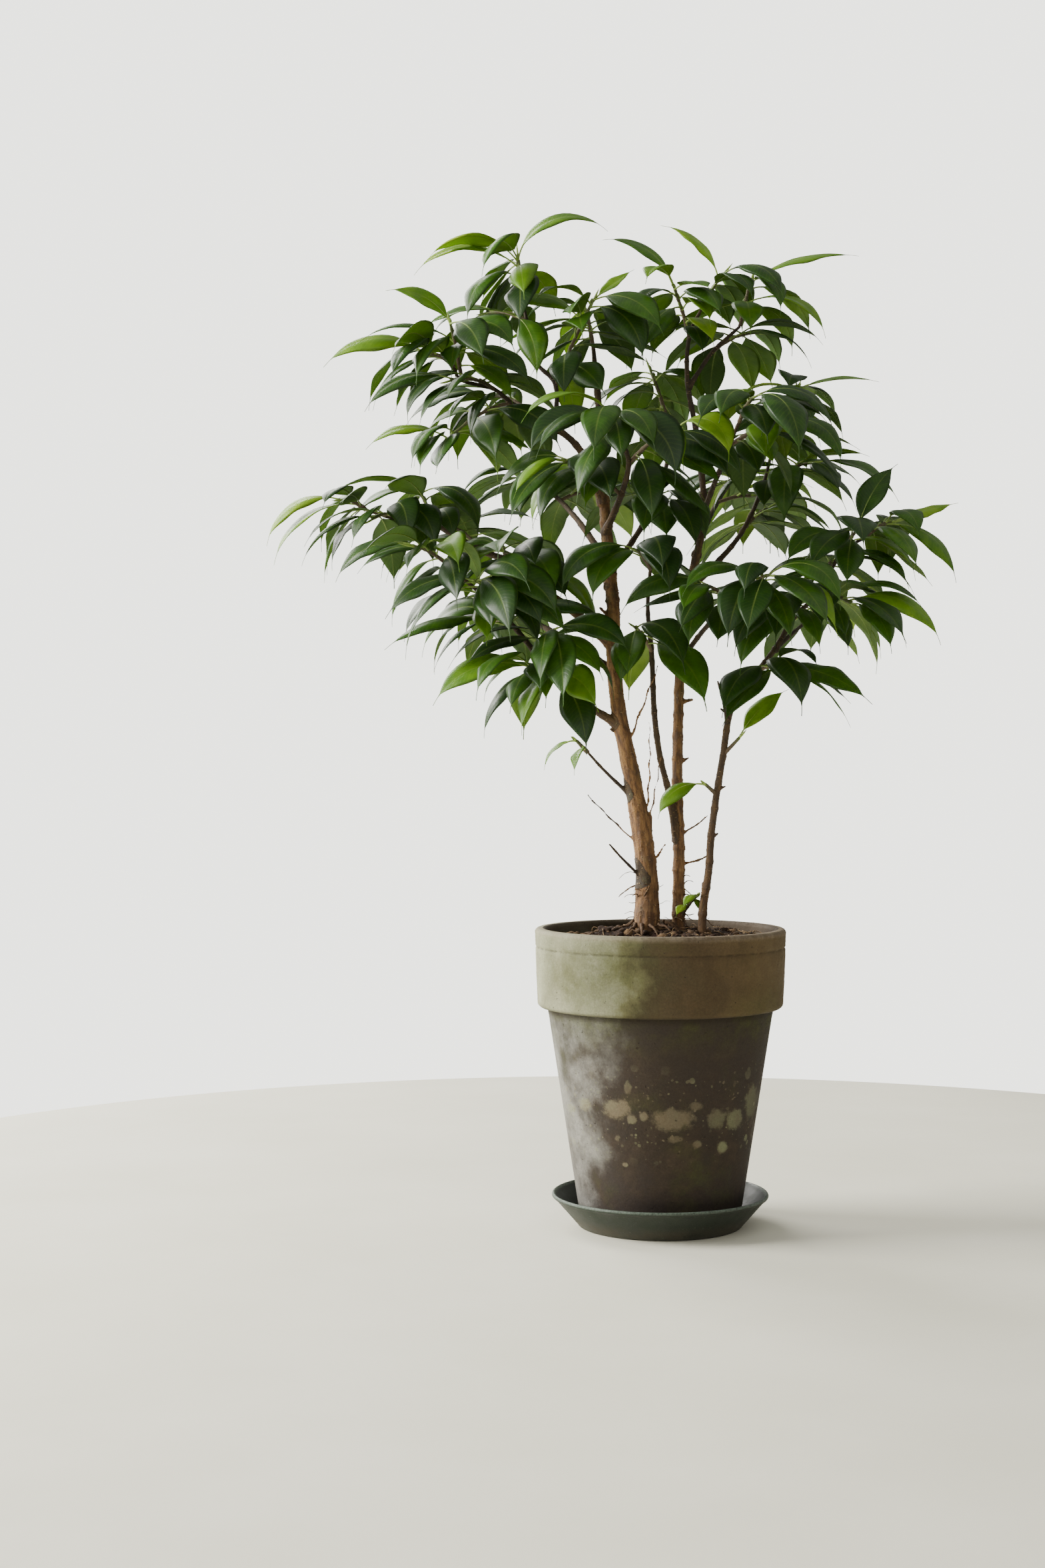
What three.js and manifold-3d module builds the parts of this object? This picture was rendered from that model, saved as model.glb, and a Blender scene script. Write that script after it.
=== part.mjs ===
// A weeping fig (Ficus benjamina) with three stems, grown in a thick-collared terracotta pot on a
// plastic saucer. Units are millimetres, +Z is up, and the origin is at the middle of the saucer's
// underside. The front of the plant faces -Y.
import * as THREE from "three";
import { mergeVertices } from "three/addons/utils/BufferGeometryUtils.js";
import Module from "manifold-3d";

const wasm = await Module();
wasm.setup();

// ---------------------------------------------------------------- driving dimensions
const CLEARANCE = 0.3; // gap between pieces that touch

const SAUCER_MARGIN = 2; // how far the saucer's foot reaches past the pot's base
const SAUCER_FLARE = 15.6; // how much wider its wall is at the top, on each side
const SAUCER_HEIGHT = 22;
const SAUCER_FLOOR = 2.5;
const SAUCER_WALL = 2.2;
const SAUCER_LIP = 1.4; // how far the rolled lip stands out from the wall

const POT_HEIGHT = 198;
const POT_BASE_DIAMETER = 108;
const POT_RIM_DIAMETER = 170;
const POT_COLLAR_HEIGHT = 53;
const POT_COLLAR_TAPER = 2; // how much smaller the collar's radius is at its lower edge
const POT_COLLAR_STEP = 6.5; // how far the collar's lower edge stands out from the body
const POT_WALL = 8.5;
const POT_FLOOR = 12;
const POT_EDGE_RADIUS = 3; // rounding of the rim, the collar's lower edge and the base
const DRAIN_HOLE_DIAMETER = 20;

const SOIL_BELOW_RIM = 13; // at the pot wall
const SOIL_MOUND = 9; // how much higher the soil is round the stems
const STEM_DEPTH = 32; // how deep the stems go below the soil at the wall

const LEAF_LENGTH = 64; // blade of a full-grown leaf
const LEAF_WIDTH = 26;
const LEAF_THICKNESS = 1.3; // at the midrib; the edges run out thin
const PETIOLE_LENGTH = 11;
const PETIOLE_RADIUS = 0.6;
const TWIG_RADIUS = 1.3; // a leafy shoot's twig at its root
const TWIG_TIP_RADIUS = 0.8;

const ROUND_SEGMENTS = 36; // facets round the pot and the saucer

// ---------------------------------------------------------------- derived levels
const POT_Z = SAUCER_FLOOR + CLEARANCE;
const RIM_Z = POT_Z + POT_HEIGHT;
const POT_BASE_RADIUS = POT_BASE_DIAMETER / 2;
const POT_RIM_RADIUS = POT_RIM_DIAMETER / 2;
const POT_BODY_TOP_RADIUS = POT_RIM_RADIUS - POT_COLLAR_TAPER - POT_COLLAR_STEP;
const COLLAR_BOTTOM = POT_HEIGHT - POT_COLLAR_HEIGHT; // above the pot's base

// ---------------------------------------------------------------- the plant's skeleton
// Every point is [x, y, height above the rim, radius], along the middle of a stem or limb. The first
// limb of each stem is its axis, which starts in the soil; the others grow out of one before them.
const SOCKET = -(SOIL_BELOW_RIM + STEM_DEPTH);
const STEMS = {
  trunk_left: {
    colour: 0x8a6f55,
    limbs: [
      // the trunk itself
      [[-9, 0, SOCKET, 9.8], [-9, 0, 0, 9], [-9, 0, 25, 7.8], [-11, -1, 55, 6.8], [-19, -2, 100, 5.8],
        [-28, -3, 145, 5.1], [-32, -3, 185, 4.7], [-32, -2, 215, 4.5], [-35, 0, 250, 4.2],
        [-38, 2, 290, 3.5], [-41, 4, 345, 2.5], [-45, 6, 390, 1.5]],
      // low left branch
      [[-30, -3, 138, 2.6], [-49, -8, 150, 2.3], [-69, -14, 166, 2.1], [-84, -20, 184, 1.9],
        [-100, -26, 203, 1.7], [-117, -32, 220, 1.5], [-139, -40, 238, 1.2]],
      // long left branch
      [[-33, -2, 192, 3.4], [-63, 8, 217, 3], [-86, 14, 233, 2.7], [-104, 20, 249, 2.4],
        [-123, 24, 257, 2.1], [-153, 26, 274, 1.8], [-175, 26, 277, 1.5], [-200, 24, 284, 1.2]],
      // upper left limb
      [[-38, 2, 286, 2.9], [-54, -6, 320, 2.4], [-72, -12, 336, 2.1], [-88, -16, 345, 1.8],
        [-100, -20, 350, 1.6], [-112, -24, 359, 1.4], [-133, -28, 364, 1.2], [-138, -30, 372, 1]],
      // the leader that climbs from the upper left limb
      [[-71, -12, 335, 1.7], [-71, -10, 364, 1.5], [-84, -8, 380, 1.4], [-90, -6, 407, 1.2],
        [-94, -6, 426, 1]],
      // back limb
      [[-34, -1, 230, 2.9], [-40, 30, 255, 2.5], [-52, 62, 278, 2.1], [-66, 92, 298, 1.7],
        [-80, 115, 312, 1.3]],
      // front limb
      [[-37, 1, 266, 2.5], [-28, -28, 288, 2.1], [-24, -58, 305, 1.7], [-30, -84, 317, 1.3]],
      // inner limb that crosses to the right
      [[-34, -1, 240, 2.4], [-18, 10, 262, 2], [-2, 24, 290, 1.7], [6, 34, 315, 1.4], [8, 42, 345, 1.2]],
      // back left limb
      [[-31, -3, 172, 2.6], [-55, 28, 192, 2.2], [-82, 58, 208, 1.8], [-108, 84, 224, 1.3]],
      // two dead twigs
      [[-21, -2, 90, 1.4], [-37, -6, 105, 1.1], [-49, -9, 118, 0.9]],
      [[-12, -2, 33, 1.1], [-27, -8, 48, 0.9], [-35, -12, 57, 0.7]],
    ],
  },
  stem_centre: {
    colour: 0x7c6450,
    limbs: [
      [[13, 8, SOCKET, 4.7], [13, 8, 0, 4.4], [13, 8, 25, 4], [13, 8, 62, 3.8], [12, 9, 100, 3.6],
        [13, 10, 150, 3.4], [15, 11, 200, 3.1], [20, 12, 230, 2.9], [27, 13, 260, 2.6],
        [30, 14, 290, 2.3], [26, 14, 330, 2], [19, 12, 370, 1.7], [20, 10, 400, 1.4], [28, 8, 418, 1.1]],
      // thin fork that climbs beside the trunk
      [[12, 8, 58, 2.4], [6, 4, 90, 2.2], [0, 1, 115, 2.1], [-4, 0, 145, 2], [-6, -1, 186, 1.8],
        [-9, -8, 215, 1.5], [-8, -20, 240, 1.2]],
      // right limb
      [[20, 12, 228, 2.3], [40, 20, 248, 2], [58, 28, 270, 1.7], [72, 34, 300, 1.4], [80, 38, 330, 1.1]],
      // back limb
      [[25, 13, 252, 2.3], [34, 45, 275, 2], [45, 78, 295, 1.6], [55, 108, 310, 1.2]],
      // front limb
      [[29, 14, 278, 2.1], [36, -15, 300, 1.8], [42, -45, 318, 1.5], [46, -75, 330, 1.1]],
      // crown limb to the right
      [[20, 12, 366, 1.6], [36, 14, 390, 1.4], [55, 16, 408, 1.1]],
      // low front limb
      [[14, 11, 180, 2], [30, -12, 202, 1.7], [44, -38, 215, 1.4], [56, -62, 224, 1.1]],
    ],
  },
  stem_right: {
    colour: 0x75624e,
    limbs: [
      [[27, -7, SOCKET, 3.2], [28, -7, 8, 2.9], [32, -7, 37, 2.6], [34, -8, 65, 2.5], [37, -9, 88, 2.4],
        [41, -10, 113, 2.3], [45, -11, 141, 2.2], [51, -12, 156, 2.1], [64, -13, 172, 2],
        [77, -14, 189, 1.9], [88, -15, 208, 1.8], [100, -15, 220, 1.6], [111, -14, 237, 1.5],
        [122, -13, 253, 1.3], [136, -12, 262, 1]],
      // back limb
      [[76, -14, 187, 1.7], [92, 20, 200, 1.4], [108, 52, 212, 1.1]],
      // dead twig
      [[44, -11, 138, 1.1], [41, -15, 152, 0.9], [37, -18, 166, 0.7]],
    ],
  },
};

// Leafy shoots: root on a limb's axis, tip, how far the twig arches up, number of leaves, and the
// leaves' size as a share of a full-grown leaf. Heights are above the rim.
const SHOOTS = {
  shoot_far_left_end: [[-200, 24, 284], [-216, 18, 290], 2, 8, 0.95],
  shoot_far_left_front: [[-175, 26, 277], [-194, -8, 274], 4, 9, 0.95],
  shoot_far_left_back: [[-153, 26, 274], [-166, 44, 302], 2, 8, 0.9],
  shoot_left_front_end: [[-139, -40, 238], [-164, -56, 252], 3, 9, 0.95],
  shoot_left_back: [[-123, 24, 257], [-146, 58, 276], 4, 9, 1],
  shoot_left_mid_back: [[-104, 20, 249], [-110, 66, 266], 4, 8, 1],
  shoot_left_low_front: [[-117, -32, 220], [-124, -70, 228], 4, 8, 1],
  shoot_left_low_hang: [[-100, -26, 203], [-116, -6, 204], 3, 7, 1.05],
  shoot_left_lowest: [[-69, -14, 166], [-86, -40, 172], 3, 7, 1],
  shoot_left_low_inner: [[-84, -20, 184], [-72, -58, 198], 3, 8, 1],
  shoot_left_mid_front: [[-86, 14, 233], [-106, -20, 252], 5, 9, 1.05],
  shoot_dead_twig_leaf: [[-49, -9, 118], [-57, -11, 126], 0, 2, 0.45],
  shoot_upper_left_end: [[-138, -30, 372], [-156, -34, 380], 3, 8, 0.95],
  shoot_upper_left_top: [[-133, -28, 364], [-140, -46, 398], 2, 7, 0.85],
  shoot_upper_left_front: [[-112, -24, 359], [-140, -62, 358], 4, 9, 0.95],
  shoot_upper_left_low: [[-100, -20, 350], [-142, -22, 326], 5, 9, 0.95],
  shoot_upper_left_back: [[-88, -16, 345], [-122, 22, 360], 5, 9, 0.95],
  shoot_top_left: [[-94, -6, 426], [-96, -6, 448], 0, 7, 1],
  shoot_top_left_side: [[-90, -6, 407], [-118, 12, 416], 3, 8, 0.9],
  shoot_crown_left: [[-71, -10, 364], [-46, -22, 418], 2, 9, 0.9],
  shoot_trunk_top: [[-45, 6, 390], [-50, 18, 420], 2, 8, 0.9],
  shoot_front_end: [[-30, -84, 317], [-38, -112, 330], 3, 9, 1],
  shoot_front_left: [[-28, -28, 288], [-66, -66, 306], 5, 9, 1],
  shoot_front_right: [[-24, -58, 305], [4, -92, 322], 4, 8, 1],
  shoot_inner_top: [[8, 42, 345], [-4, 50, 384], 2, 8, 0.9],
  shoot_inner_front: [[-2, 24, 290], [2, -26, 284], 5, 8, 1],
  shoot_fork_top: [[-8, -20, 240], [-20, -52, 250], 3, 9, 1],
  shoot_fork_low: [[-6, -1, 186], [-20, -36, 201], 3, 6, 1],
  shoot_crown_middle: [[20, 10, 400], [8, -4, 432], 2, 8, 0.9],
  shoot_crown_right: [[28, 8, 418], [42, 2, 440], 2, 6, 0.85],
  shoot_crown_right_end: [[55, 16, 408], [62, 12, 438], 2, 7, 0.95],
  shoot_crown_right_back: [[36, 14, 390], [70, 42, 408], 4, 8, 0.9],
  shoot_right_top: [[80, 38, 330], [96, 34, 368], 2, 8, 0.9],
  shoot_right_upper: [[72, 34, 300], [104, 6, 314], 4, 9, 0.95],
  shoot_right_upper_back: [[58, 28, 270], [84, 64, 290], 4, 8, 1],
  shoot_far_right_end: [[136, -12, 262], [154, -12, 272], 2, 8, 0.9],
  shoot_far_right_front: [[122, -13, 253], [128, -48, 264], 3, 8, 0.95],
  shoot_far_right_back: [[111, -14, 237], [120, 26, 248], 4, 8, 0.95],
  shoot_right_low_end: [[100, -15, 220], [124, -34, 216], 4, 8, 0.95],
  shoot_right_low_front: [[88, -15, 208], [82, -58, 224], 4, 9, 1],
  shoot_right_lowest: [[64, -13, 172], [82, -32, 174], 3, 7, 1.05],
  shoot_right_back: [[108, 52, 212], [122, 82, 222], 3, 8, 1],
  shoot_front_low: [[56, -62, 224], [64, -94, 230], 3, 9, 1],
  shoot_front_low_left: [[44, -38, 215], [22, -72, 226], 3, 8, 1],
  shoot_front_upper: [[46, -75, 330], [52, -108, 340], 3, 9, 0.95],
  shoot_front_upper_right: [[42, -45, 318], [76, -68, 328], 4, 8, 0.95],
  shoot_back_right: [[55, 108, 310], [64, 140, 318], 3, 9, 1],
  shoot_back_right_side: [[45, 78, 295], [88, 102, 300], 4, 8, 1],
  shoot_back_left: [[-80, 115, 312], [-94, 142, 320], 3, 9, 1],
  shoot_back_middle: [[-66, 92, 298], [-26, 122, 308], 4, 9, 1],
  shoot_back_low: [[-108, 84, 224], [-132, 106, 230], 3, 8, 1],
  sucker_shoot: [[13, 8, 4], [25, -8, 22], 2, 4, 0.3],
  shoot_stem_right_upper: [[42, -10.5, 117], [52, -14, 128], 0, 0, 0.6],
  shoot_stem_right_lower: [[37.5, -9, 90], [29, -14, 97], 0, 0, 0.5],
};

// Leaves that draw the crown's outline: shoot, place along its twig, heading (0 is +X, 90 is back),
// pitch at the root and at the tip in degrees above level, and size as a share of a full-grown leaf.
const OUTLINE_LEAVES = [
  ["shoot_far_left_end", 1, 178, 20, -82, 0.92],
  ["shoot_far_left_end", 0.3, 190, 8, -80, 1.07],
  ["shoot_far_left_front", 0.6, 205, 20, -66, 0.92],
  ["shoot_far_left_back", 0.8, 172, 22, -70, 0.82],
  ["shoot_left_front_end", 0.9, 190, 22, -70, 0.87],
  ["shoot_left_low_hang", 0.7, 196, 12, -42, 1.11],
  ["shoot_left_low_inner", 0.4, 200, 10, -48, 0.82],
  ["shoot_left_lowest", 0.9, 184, 24, -62, 1.07],
  ["shoot_left_lowest", 0.2, 300, 10, -60, 0.87],
  ["shoot_upper_left_end", 1, 180, 38, -52, 1.02],
  ["shoot_upper_left_top", 0.9, 176, 70, -10, 0.73],
  ["shoot_upper_left_front", 0.9, 192, 20, -62, 0.92],
  ["shoot_upper_left_low", 1, 186, 36, -52, 0.82],
  ["shoot_upper_left_back", 0.8, 168, 24, -60, 0.92],
  ["shoot_top_left", 0.75, 186, 46, -56, 1.09],
  ["shoot_top_left", 1, 2, 80, -44, 1.05],
  ["shoot_top_left_side", 1, 190, -20, -84, 0.58],
  ["shoot_crown_left", 0.7, 184, 60, -46, 0.82],
  ["shoot_crown_left", 1, 15, 46, 30, 0.48],
  ["shoot_crown_middle", 1, 176, 74, -8, 0.82],
  ["shoot_crown_right", 0.8, 170, 80, 8, 0.78],
  ["shoot_crown_right", 1, 60, 84, 78, 0.44],
  ["shoot_crown_right_end", 1, -4, 34, -10, 1.02],
  ["shoot_crown_right_end", 0.4, -20, 30, -80, 0.97],
  ["shoot_right_top", 1, 0, 26, -16, 0.78],
  ["shoot_right_top", 0.7, -10, -20, -78, 0.78],
  ["shoot_right_upper", 1, -8, 14, -66, 0.92],
  ["shoot_right_upper", 0.5, 196, 24, -40, 0.82],
  ["shoot_far_right_end", 1, 4, 24, 8, 0.63],
  ["shoot_far_right_end", 0.7, -14, 4, -84, 0.92],
  ["shoot_far_right_front", 0.8, 30, 76, 30, 0.78],
  ["shoot_right_low_end", 0.9, -8, 24, -76, 1.02],
  ["shoot_right_lowest", 0.3, -30, 6, -44, 1.11],
  ["shoot_right_lowest", 1, -12, -10, -52, 1.02],
  ["shoot_fork_low", 0.6, 250, 0, -84, 0.87],
  ["shoot_front_left", 0.8, 215, 0, -80, 0.97],
  ["shoot_inner_front", 0.9, 250, 20, -86, 0.92],
  ["shoot_stem_right_upper", 0.95, 20, 62, 22, 0.68],
  ["shoot_stem_right_upper", 0.35, 200, 0, -100, 0.45],
  ["shoot_stem_right_lower", 0.35, 25, 52, -8, 0.42],
  ["shoot_stem_right_lower", 0.95, 195, 10, -78, 0.6],
];

// How the other leaves stand on a twig, in degrees
const LEAF_SPREAD = 68; // away from the twig's heading, to alternate sides
const LEAF_START_PITCH = [-2, 44]; // lowest and highest
const LEAF_END_PITCH = [-104, -56];
const LEAF_ROLL = 24; // largest twist about the midrib
const LEAF_TILT = 30; // the most that a blade turns about its midrib to face the light
const OUTLINE_TILT = 54; // the same for the leaves of the outline
const SLIVER = 0.05; // edges shorter than this are taken out of a finished shoot
const LEAF_LIGHT = new THREE.Vector2(-0.45, -0.45); // where the light comes from, seen from above
const OUTWARD_SHARE = 0.6; // how much a blade faces away from the plant's middle as well
const PLANT_AXIS = new THREE.Vector2(-20, 0);
const FIRST_LEAF = 0.22; // where along the twig the leaves start

// Turn of the heading and lift of the tip, in degrees, tried in order until a leaf is clear
const LEAF_TRIES = [
  [0, 0], [24, 0], [-24, 0], [0, 30], [24, 30], [-24, 30], [48, 0], [-48, 0], [0, -30], [48, 30],
  [-48, 30], [80, 0], [-80, 0], [80, 30], [-80, 30], [120, 0], [-120, 0], [160, 0],
];

// Room that a leaf needs
const LEAF_GAP = 4; // between the sample points of two leaves
const STEM_GAP = 3.2; // between a leaf and the bark
const BLADE_STATIONS = 10; // sample rows along a blade
const BLADE_ACROSS = [-1, -0.5, 0, 0.5, 1];
const STEM_SAMPLES = 5; // sample points for each stretch between two skeleton points

// ---------------------------------------------------------------- small helpers
const degrees = THREE.MathUtils.degToRad;

// Repeatable draws from 0 to 1, the same in every run.
function makeRandom(seed) {
  let state = seed;
  return () => {
    state = (Math.imul(state, 1664525) + 1013904223) >>> 0;
    return state / 4294967296;
  };
}

function solidOf(geometry) {
  const bare = geometry.index ? geometry.toNonIndexed() : geometry.clone();
  for (const name of Object.keys(bare.attributes)) {
    if (name !== "position") bare.deleteAttribute(name);
  }
  const merged = mergeVertices(bare, 1e-4);
  return new wasm.Manifold(
    new wasm.Mesh({
      numProp: 3,
      vertProperties: new Float32Array(merged.attributes.position.array),
      triVerts: new Uint32Array(merged.index.array),
    }),
  );
}

function geometryOf(solid) {
  const mesh = solid.getMesh();
  const stride = mesh.numProp;
  const points = new Float32Array(mesh.numVert * 3);
  for (let i = 0; i < mesh.numVert; i++) {
    points.set(mesh.vertProperties.subarray(i * stride, i * stride + 3), i * 3);
  }
  const geometry = new THREE.BufferGeometry();
  geometry.setAttribute("position", new THREE.BufferAttribute(points, 3));
  geometry.setIndex(new THREE.BufferAttribute(new Uint32Array(mesh.triVerts), 1));
  return geometry;
}

function largestBody(solid) {
  const bodies = solid.decompose();
  return bodies.reduce((best, body) => (body.volume() > best.volume() ? body : best));
}

// Bends an upright cylinder or cone along a path. place(t, angle) gives where a point goes.
function bend(geometry, place) {
  const position = geometry.attributes.position;
  const height = geometry.parameters.height;
  const point = new THREE.Vector3();
  for (let i = 0; i < position.count; i++) {
    point.fromBufferAttribute(position, i);
    const t = point.y / height + 0.5;
    const onAxis = Math.hypot(point.x, point.z) < 1e-6;
    const placed = place(t, Math.atan2(point.x, point.z), onAxis ? 0 : 1);
    position.setXYZ(i, placed.x, placed.y, placed.z);
  }
  return geometry;
}

// A round solid along a curve, its radius taken from radiusAt(t), t running from 0 to 1.
function taperedTube(curve, radiusAt, sides, steps) {
  const frames = curve.computeFrenetFrames(steps, false);
  const tube = new THREE.CylinderGeometry(1, 1, 1, sides, steps);
  return bend(tube, (t, angle, reach) => {
    const step = Math.round(t * steps);
    const radius = radiusAt(t) * reach;
    return curve
      .getPointAt(t)
      .addScaledVector(frames.binormals[step], Math.sin(angle) * radius)
      .addScaledVector(frames.normals[step], Math.cos(angle) * radius);
  });
}

function lathe(outline) {
  return new THREE.LatheGeometry(outline, ROUND_SEGMENTS).rotateX(Math.PI / 2);
}

// Points of a quarter-round edge from one angle to another, for a lathe outline.
function edge(x, y, radius, from, to) {
  const steps = 2;
  return Array.from({ length: steps + 1 }, (_, i) => {
    const angle = degrees(from + ((to - from) * i) / steps);
    return new THREE.Vector2(x + radius * Math.cos(angle), y + radius * Math.sin(angle));
  });
}

// ---------------------------------------------------------------- pot, saucer and soil
function makeSaucer() {
  const base = POT_BASE_RADIUS + SAUCER_MARGIN;
  const top = base + SAUCER_FLARE;
  const inner = top - SAUCER_WALL;
  const floorEdge = base - SAUCER_WALL + (SAUCER_FLOOR * (inner - base + SAUCER_WALL)) / SAUCER_HEIGHT;
  const outline = [
    new THREE.Vector2(0, 0),
    new THREE.Vector2(base - 1.5, 0),
    new THREE.Vector2(base, 1.2),
    new THREE.Vector2(top - SAUCER_LIP * 0.4, SAUCER_HEIGHT - 2 * SAUCER_LIP),
    ...edge(top, SAUCER_HEIGHT - SAUCER_LIP, SAUCER_LIP, -60, 90),
    new THREE.Vector2(inner, SAUCER_HEIGHT - SAUCER_LIP * 0.4),
    new THREE.Vector2(floorEdge, SAUCER_FLOOR),
    new THREE.Vector2(0, SAUCER_FLOOR),
  ];
  return lathe(outline);
}

function makePot() {
  const collarLow = POT_RIM_RADIUS - POT_COLLAR_TAPER;
  const inside = POT_RIM_RADIUS - POT_WALL;
  const round = POT_EDGE_RADIUS;
  const hole = DRAIN_HOLE_DIAMETER / 2;
  const outline = [
    new THREE.Vector2(hole, 0),
    ...edge(POT_BASE_RADIUS - round, round, round, -90, 0),
    new THREE.Vector2(POT_BODY_TOP_RADIUS, COLLAR_BOTTOM),
    ...edge(collarLow - round, COLLAR_BOTTOM + round, round, -80, 0),
    ...edge(POT_RIM_RADIUS - round, POT_HEIGHT - round, round, 0, 90),
    ...edge(inside + round, POT_HEIGHT - round, round, 90, 180),
    new THREE.Vector2(POT_BODY_TOP_RADIUS - POT_WALL, COLLAR_BOTTOM),
    new THREE.Vector2(potInnerRadius(POT_FLOOR), POT_FLOOR),
    new THREE.Vector2(hole, POT_FLOOR),
    new THREE.Vector2(hole, 0),
  ];
  return lathe(outline).translate(0, 0, POT_Z);
}

// The inner radius of the pot at a height above its base.
function potInnerRadius(z) {
  const low = POT_BASE_RADIUS - POT_WALL + 1;
  const middle = POT_BODY_TOP_RADIUS - POT_WALL;
  const high = POT_RIM_RADIUS - POT_WALL;
  if (z < COLLAR_BOTTOM) return low + ((middle - low) * (z - POT_FLOOR)) / (COLLAR_BOTTOM - POT_FLOOR);
  return middle + ((high - middle) * (z - COLLAR_BOTTOM)) / (POT_COLLAR_HEIGHT - POT_EDGE_RADIUS);
}

function makeSoil() {
  const gap = CLEARANCE * 2;
  const bottom = POT_FLOOR + CLEARANCE;
  const top = POT_HEIGHT - SOIL_BELOW_RIM;
  const edgeRadius = potInnerRadius(top) - gap;
  const rings = 4;
  const mound = Array.from({ length: rings + 1 }, (_, i) => {
    const share = 1 - i / rings;
    const rise = SOIL_MOUND * 0.5 * (1 + Math.cos(Math.PI * share));
    return new THREE.Vector2(edgeRadius * share, top + rise);
  });
  const outline = [
    new THREE.Vector2(0, bottom),
    new THREE.Vector2(potInnerRadius(bottom) - gap, bottom),
    new THREE.Vector2(potInnerRadius(COLLAR_BOTTOM) - gap, COLLAR_BOTTOM),
    ...mound,
  ];
  const sockets = Object.values(STEMS).map((stem) => limbSolid(stem.limbs[0], CLEARANCE));
  const roots = wasm.Manifold.union(sockets);
  const ground = solidOf(lathe(outline).translate(0, 0, POT_Z));
  return geometryOf(ground.subtract(roots));
}

// ---------------------------------------------------------------- stems and limbs
function limbCurve(points) {
  const raised = points.map(([x, y, height]) => new THREE.Vector3(x, y, RIM_Z + height));
  return new THREE.CatmullRomCurve3(raised, false, "catmullrom", 0.5);
}

// A limb's radius at t, straight from one skeleton point to the next, with t shared out by number.
function limbRadius(points, t) {
  const place = t * (points.length - 1);
  const index = Math.min(Math.floor(place), points.length - 2);
  const share = place - index;
  return points[index][3] * (1 - share) + points[index + 1][3] * share;
}

function limbSolid(points, grown = 0) {
  const curve = limbCurve(points);
  const sides = points[0][3] > 4 ? 8 : 5;
  const steps = Math.round((points.length - 1) * 1.2);
  // A grown copy also reaches a little past both ends.
  const radiusAt = (t) => limbRadius(points, curve.getUtoTmapping(t)) + grown;
  const tube = solidOf(taperedTube(curve, radiusAt, sides, steps));
  if (!grown) return tube;
  const caps = [points[0], points[points.length - 1]].map(([x, y, height, radius]) => {
    const cap = new THREE.SphereGeometry(radius + 2 * grown, 6, 4);
    return solidOf(cap.translate(x, y, RIM_Z + height));
  });
  return wasm.Manifold.union([tube, ...caps]);
}

function stemSolid(stem, grown = 0) {
  return wasm.Manifold.union(stem.limbs.map((points) => limbSolid(points, grown)));
}

// ---------------------------------------------------------------- leaf shape
// Half of the blade's width at t from its base to its tip, as a share of the widest half width: an
// oval that runs out into a long drip tip.
function bladeWidth(t) {
  const oval = t < 0.88 ? Math.sin(Math.PI * Math.pow(t / 0.88, 0.9)) : 0;
  const tip = 0.1 * (1 - t);
  return Math.hypot(oval, tip);
}

// The middle line of a petiole and its blade: an even arch in the upright plane of its heading. The
// frame at distance s has the point, the direction along, across and up.
function leafFrame(leaf, s) {
  const total = leaf.petiole + leaf.length;
  const bendRate = (leaf.endPitch - leaf.startPitch) / total;
  const pitch = leaf.startPitch + bendRate * s;
  const out = (Math.sin(pitch) - Math.sin(leaf.startPitch)) / bendRate;
  const rise = (Math.cos(leaf.startPitch) - Math.cos(pitch)) / bendRate;
  const heading = new THREE.Vector3(Math.cos(leaf.heading), Math.sin(leaf.heading), 0);
  const point = leaf.root.clone().addScaledVector(heading, out);
  point.z += rise;
  const along = heading.clone().multiplyScalar(Math.cos(pitch));
  along.z = Math.sin(pitch);
  const level = new THREE.Vector3(-heading.y, heading.x, 0);
  const roll = leaf.tilt + (leaf.roll * s) / total;
  const above = along.clone().cross(level);
  const across = level.clone().multiplyScalar(Math.cos(roll)).addScaledVector(above, Math.sin(roll));
  const up = above.multiplyScalar(Math.cos(roll)).addScaledVector(level, -Math.sin(roll));
  return { point, across, up };
}

function bladePoint(leaf, t, side) {
  const frame = leafFrame(leaf, leaf.petiole + t * leaf.length);
  return frame.point.addScaledVector(frame.across, side * bladeWidth(t) * leaf.halfWidth);
}

// A petiole and its blade as one thin solid with a keel under the midrib: a three-sided cone bent
// along the middle line, with its two upper corners drawn out to the blade's edges.
function leafSolid(leaf) {
  const stations = [-leaf.petiole / leaf.length, 0, 0.24, 0.48, 0.72, 1];
  const last = stations.length - 1;
  const cone = new THREE.ConeGeometry(1, 1, 3, last);
  bend(cone, (t, angle, reach) => {
    const row = Math.round(t * last);
    const { point, across, up } = leafFrame(leaf, leaf.petiole + stations[row] * leaf.length);
    if (row === last) return point;
    const isBlade = row > 1;
    const sideways = Math.sin(angle) / Math.sin(degrees(120));
    const half = isBlade ? bladeWidth(stations[row]) * leaf.halfWidth : PETIOLE_RADIUS;
    const depth = isBlade ? (1 + 2 * Math.cos(angle)) / 3 : Math.cos(angle);
    const thick = isBlade ? LEAF_THICKNESS : PETIOLE_RADIUS;
    return point
      .addScaledVector(across, sideways * half * reach)
      .addScaledVector(up, -depth * thick * reach);
  });
  return solidOf(cone);
}

// ---------------------------------------------------------------- leafy shoots
function twigCurve([root, tip, arch]) {
  const start = new THREE.Vector3(root[0], root[1], RIM_Z + root[2]);
  const end = new THREE.Vector3(tip[0], tip[1], RIM_Z + tip[2]);
  const middle = start.clone().add(end).multiplyScalar(0.5);
  middle.z += 2 * arch;
  return new THREE.QuadraticBezierCurve3(start, middle, end);
}

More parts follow.
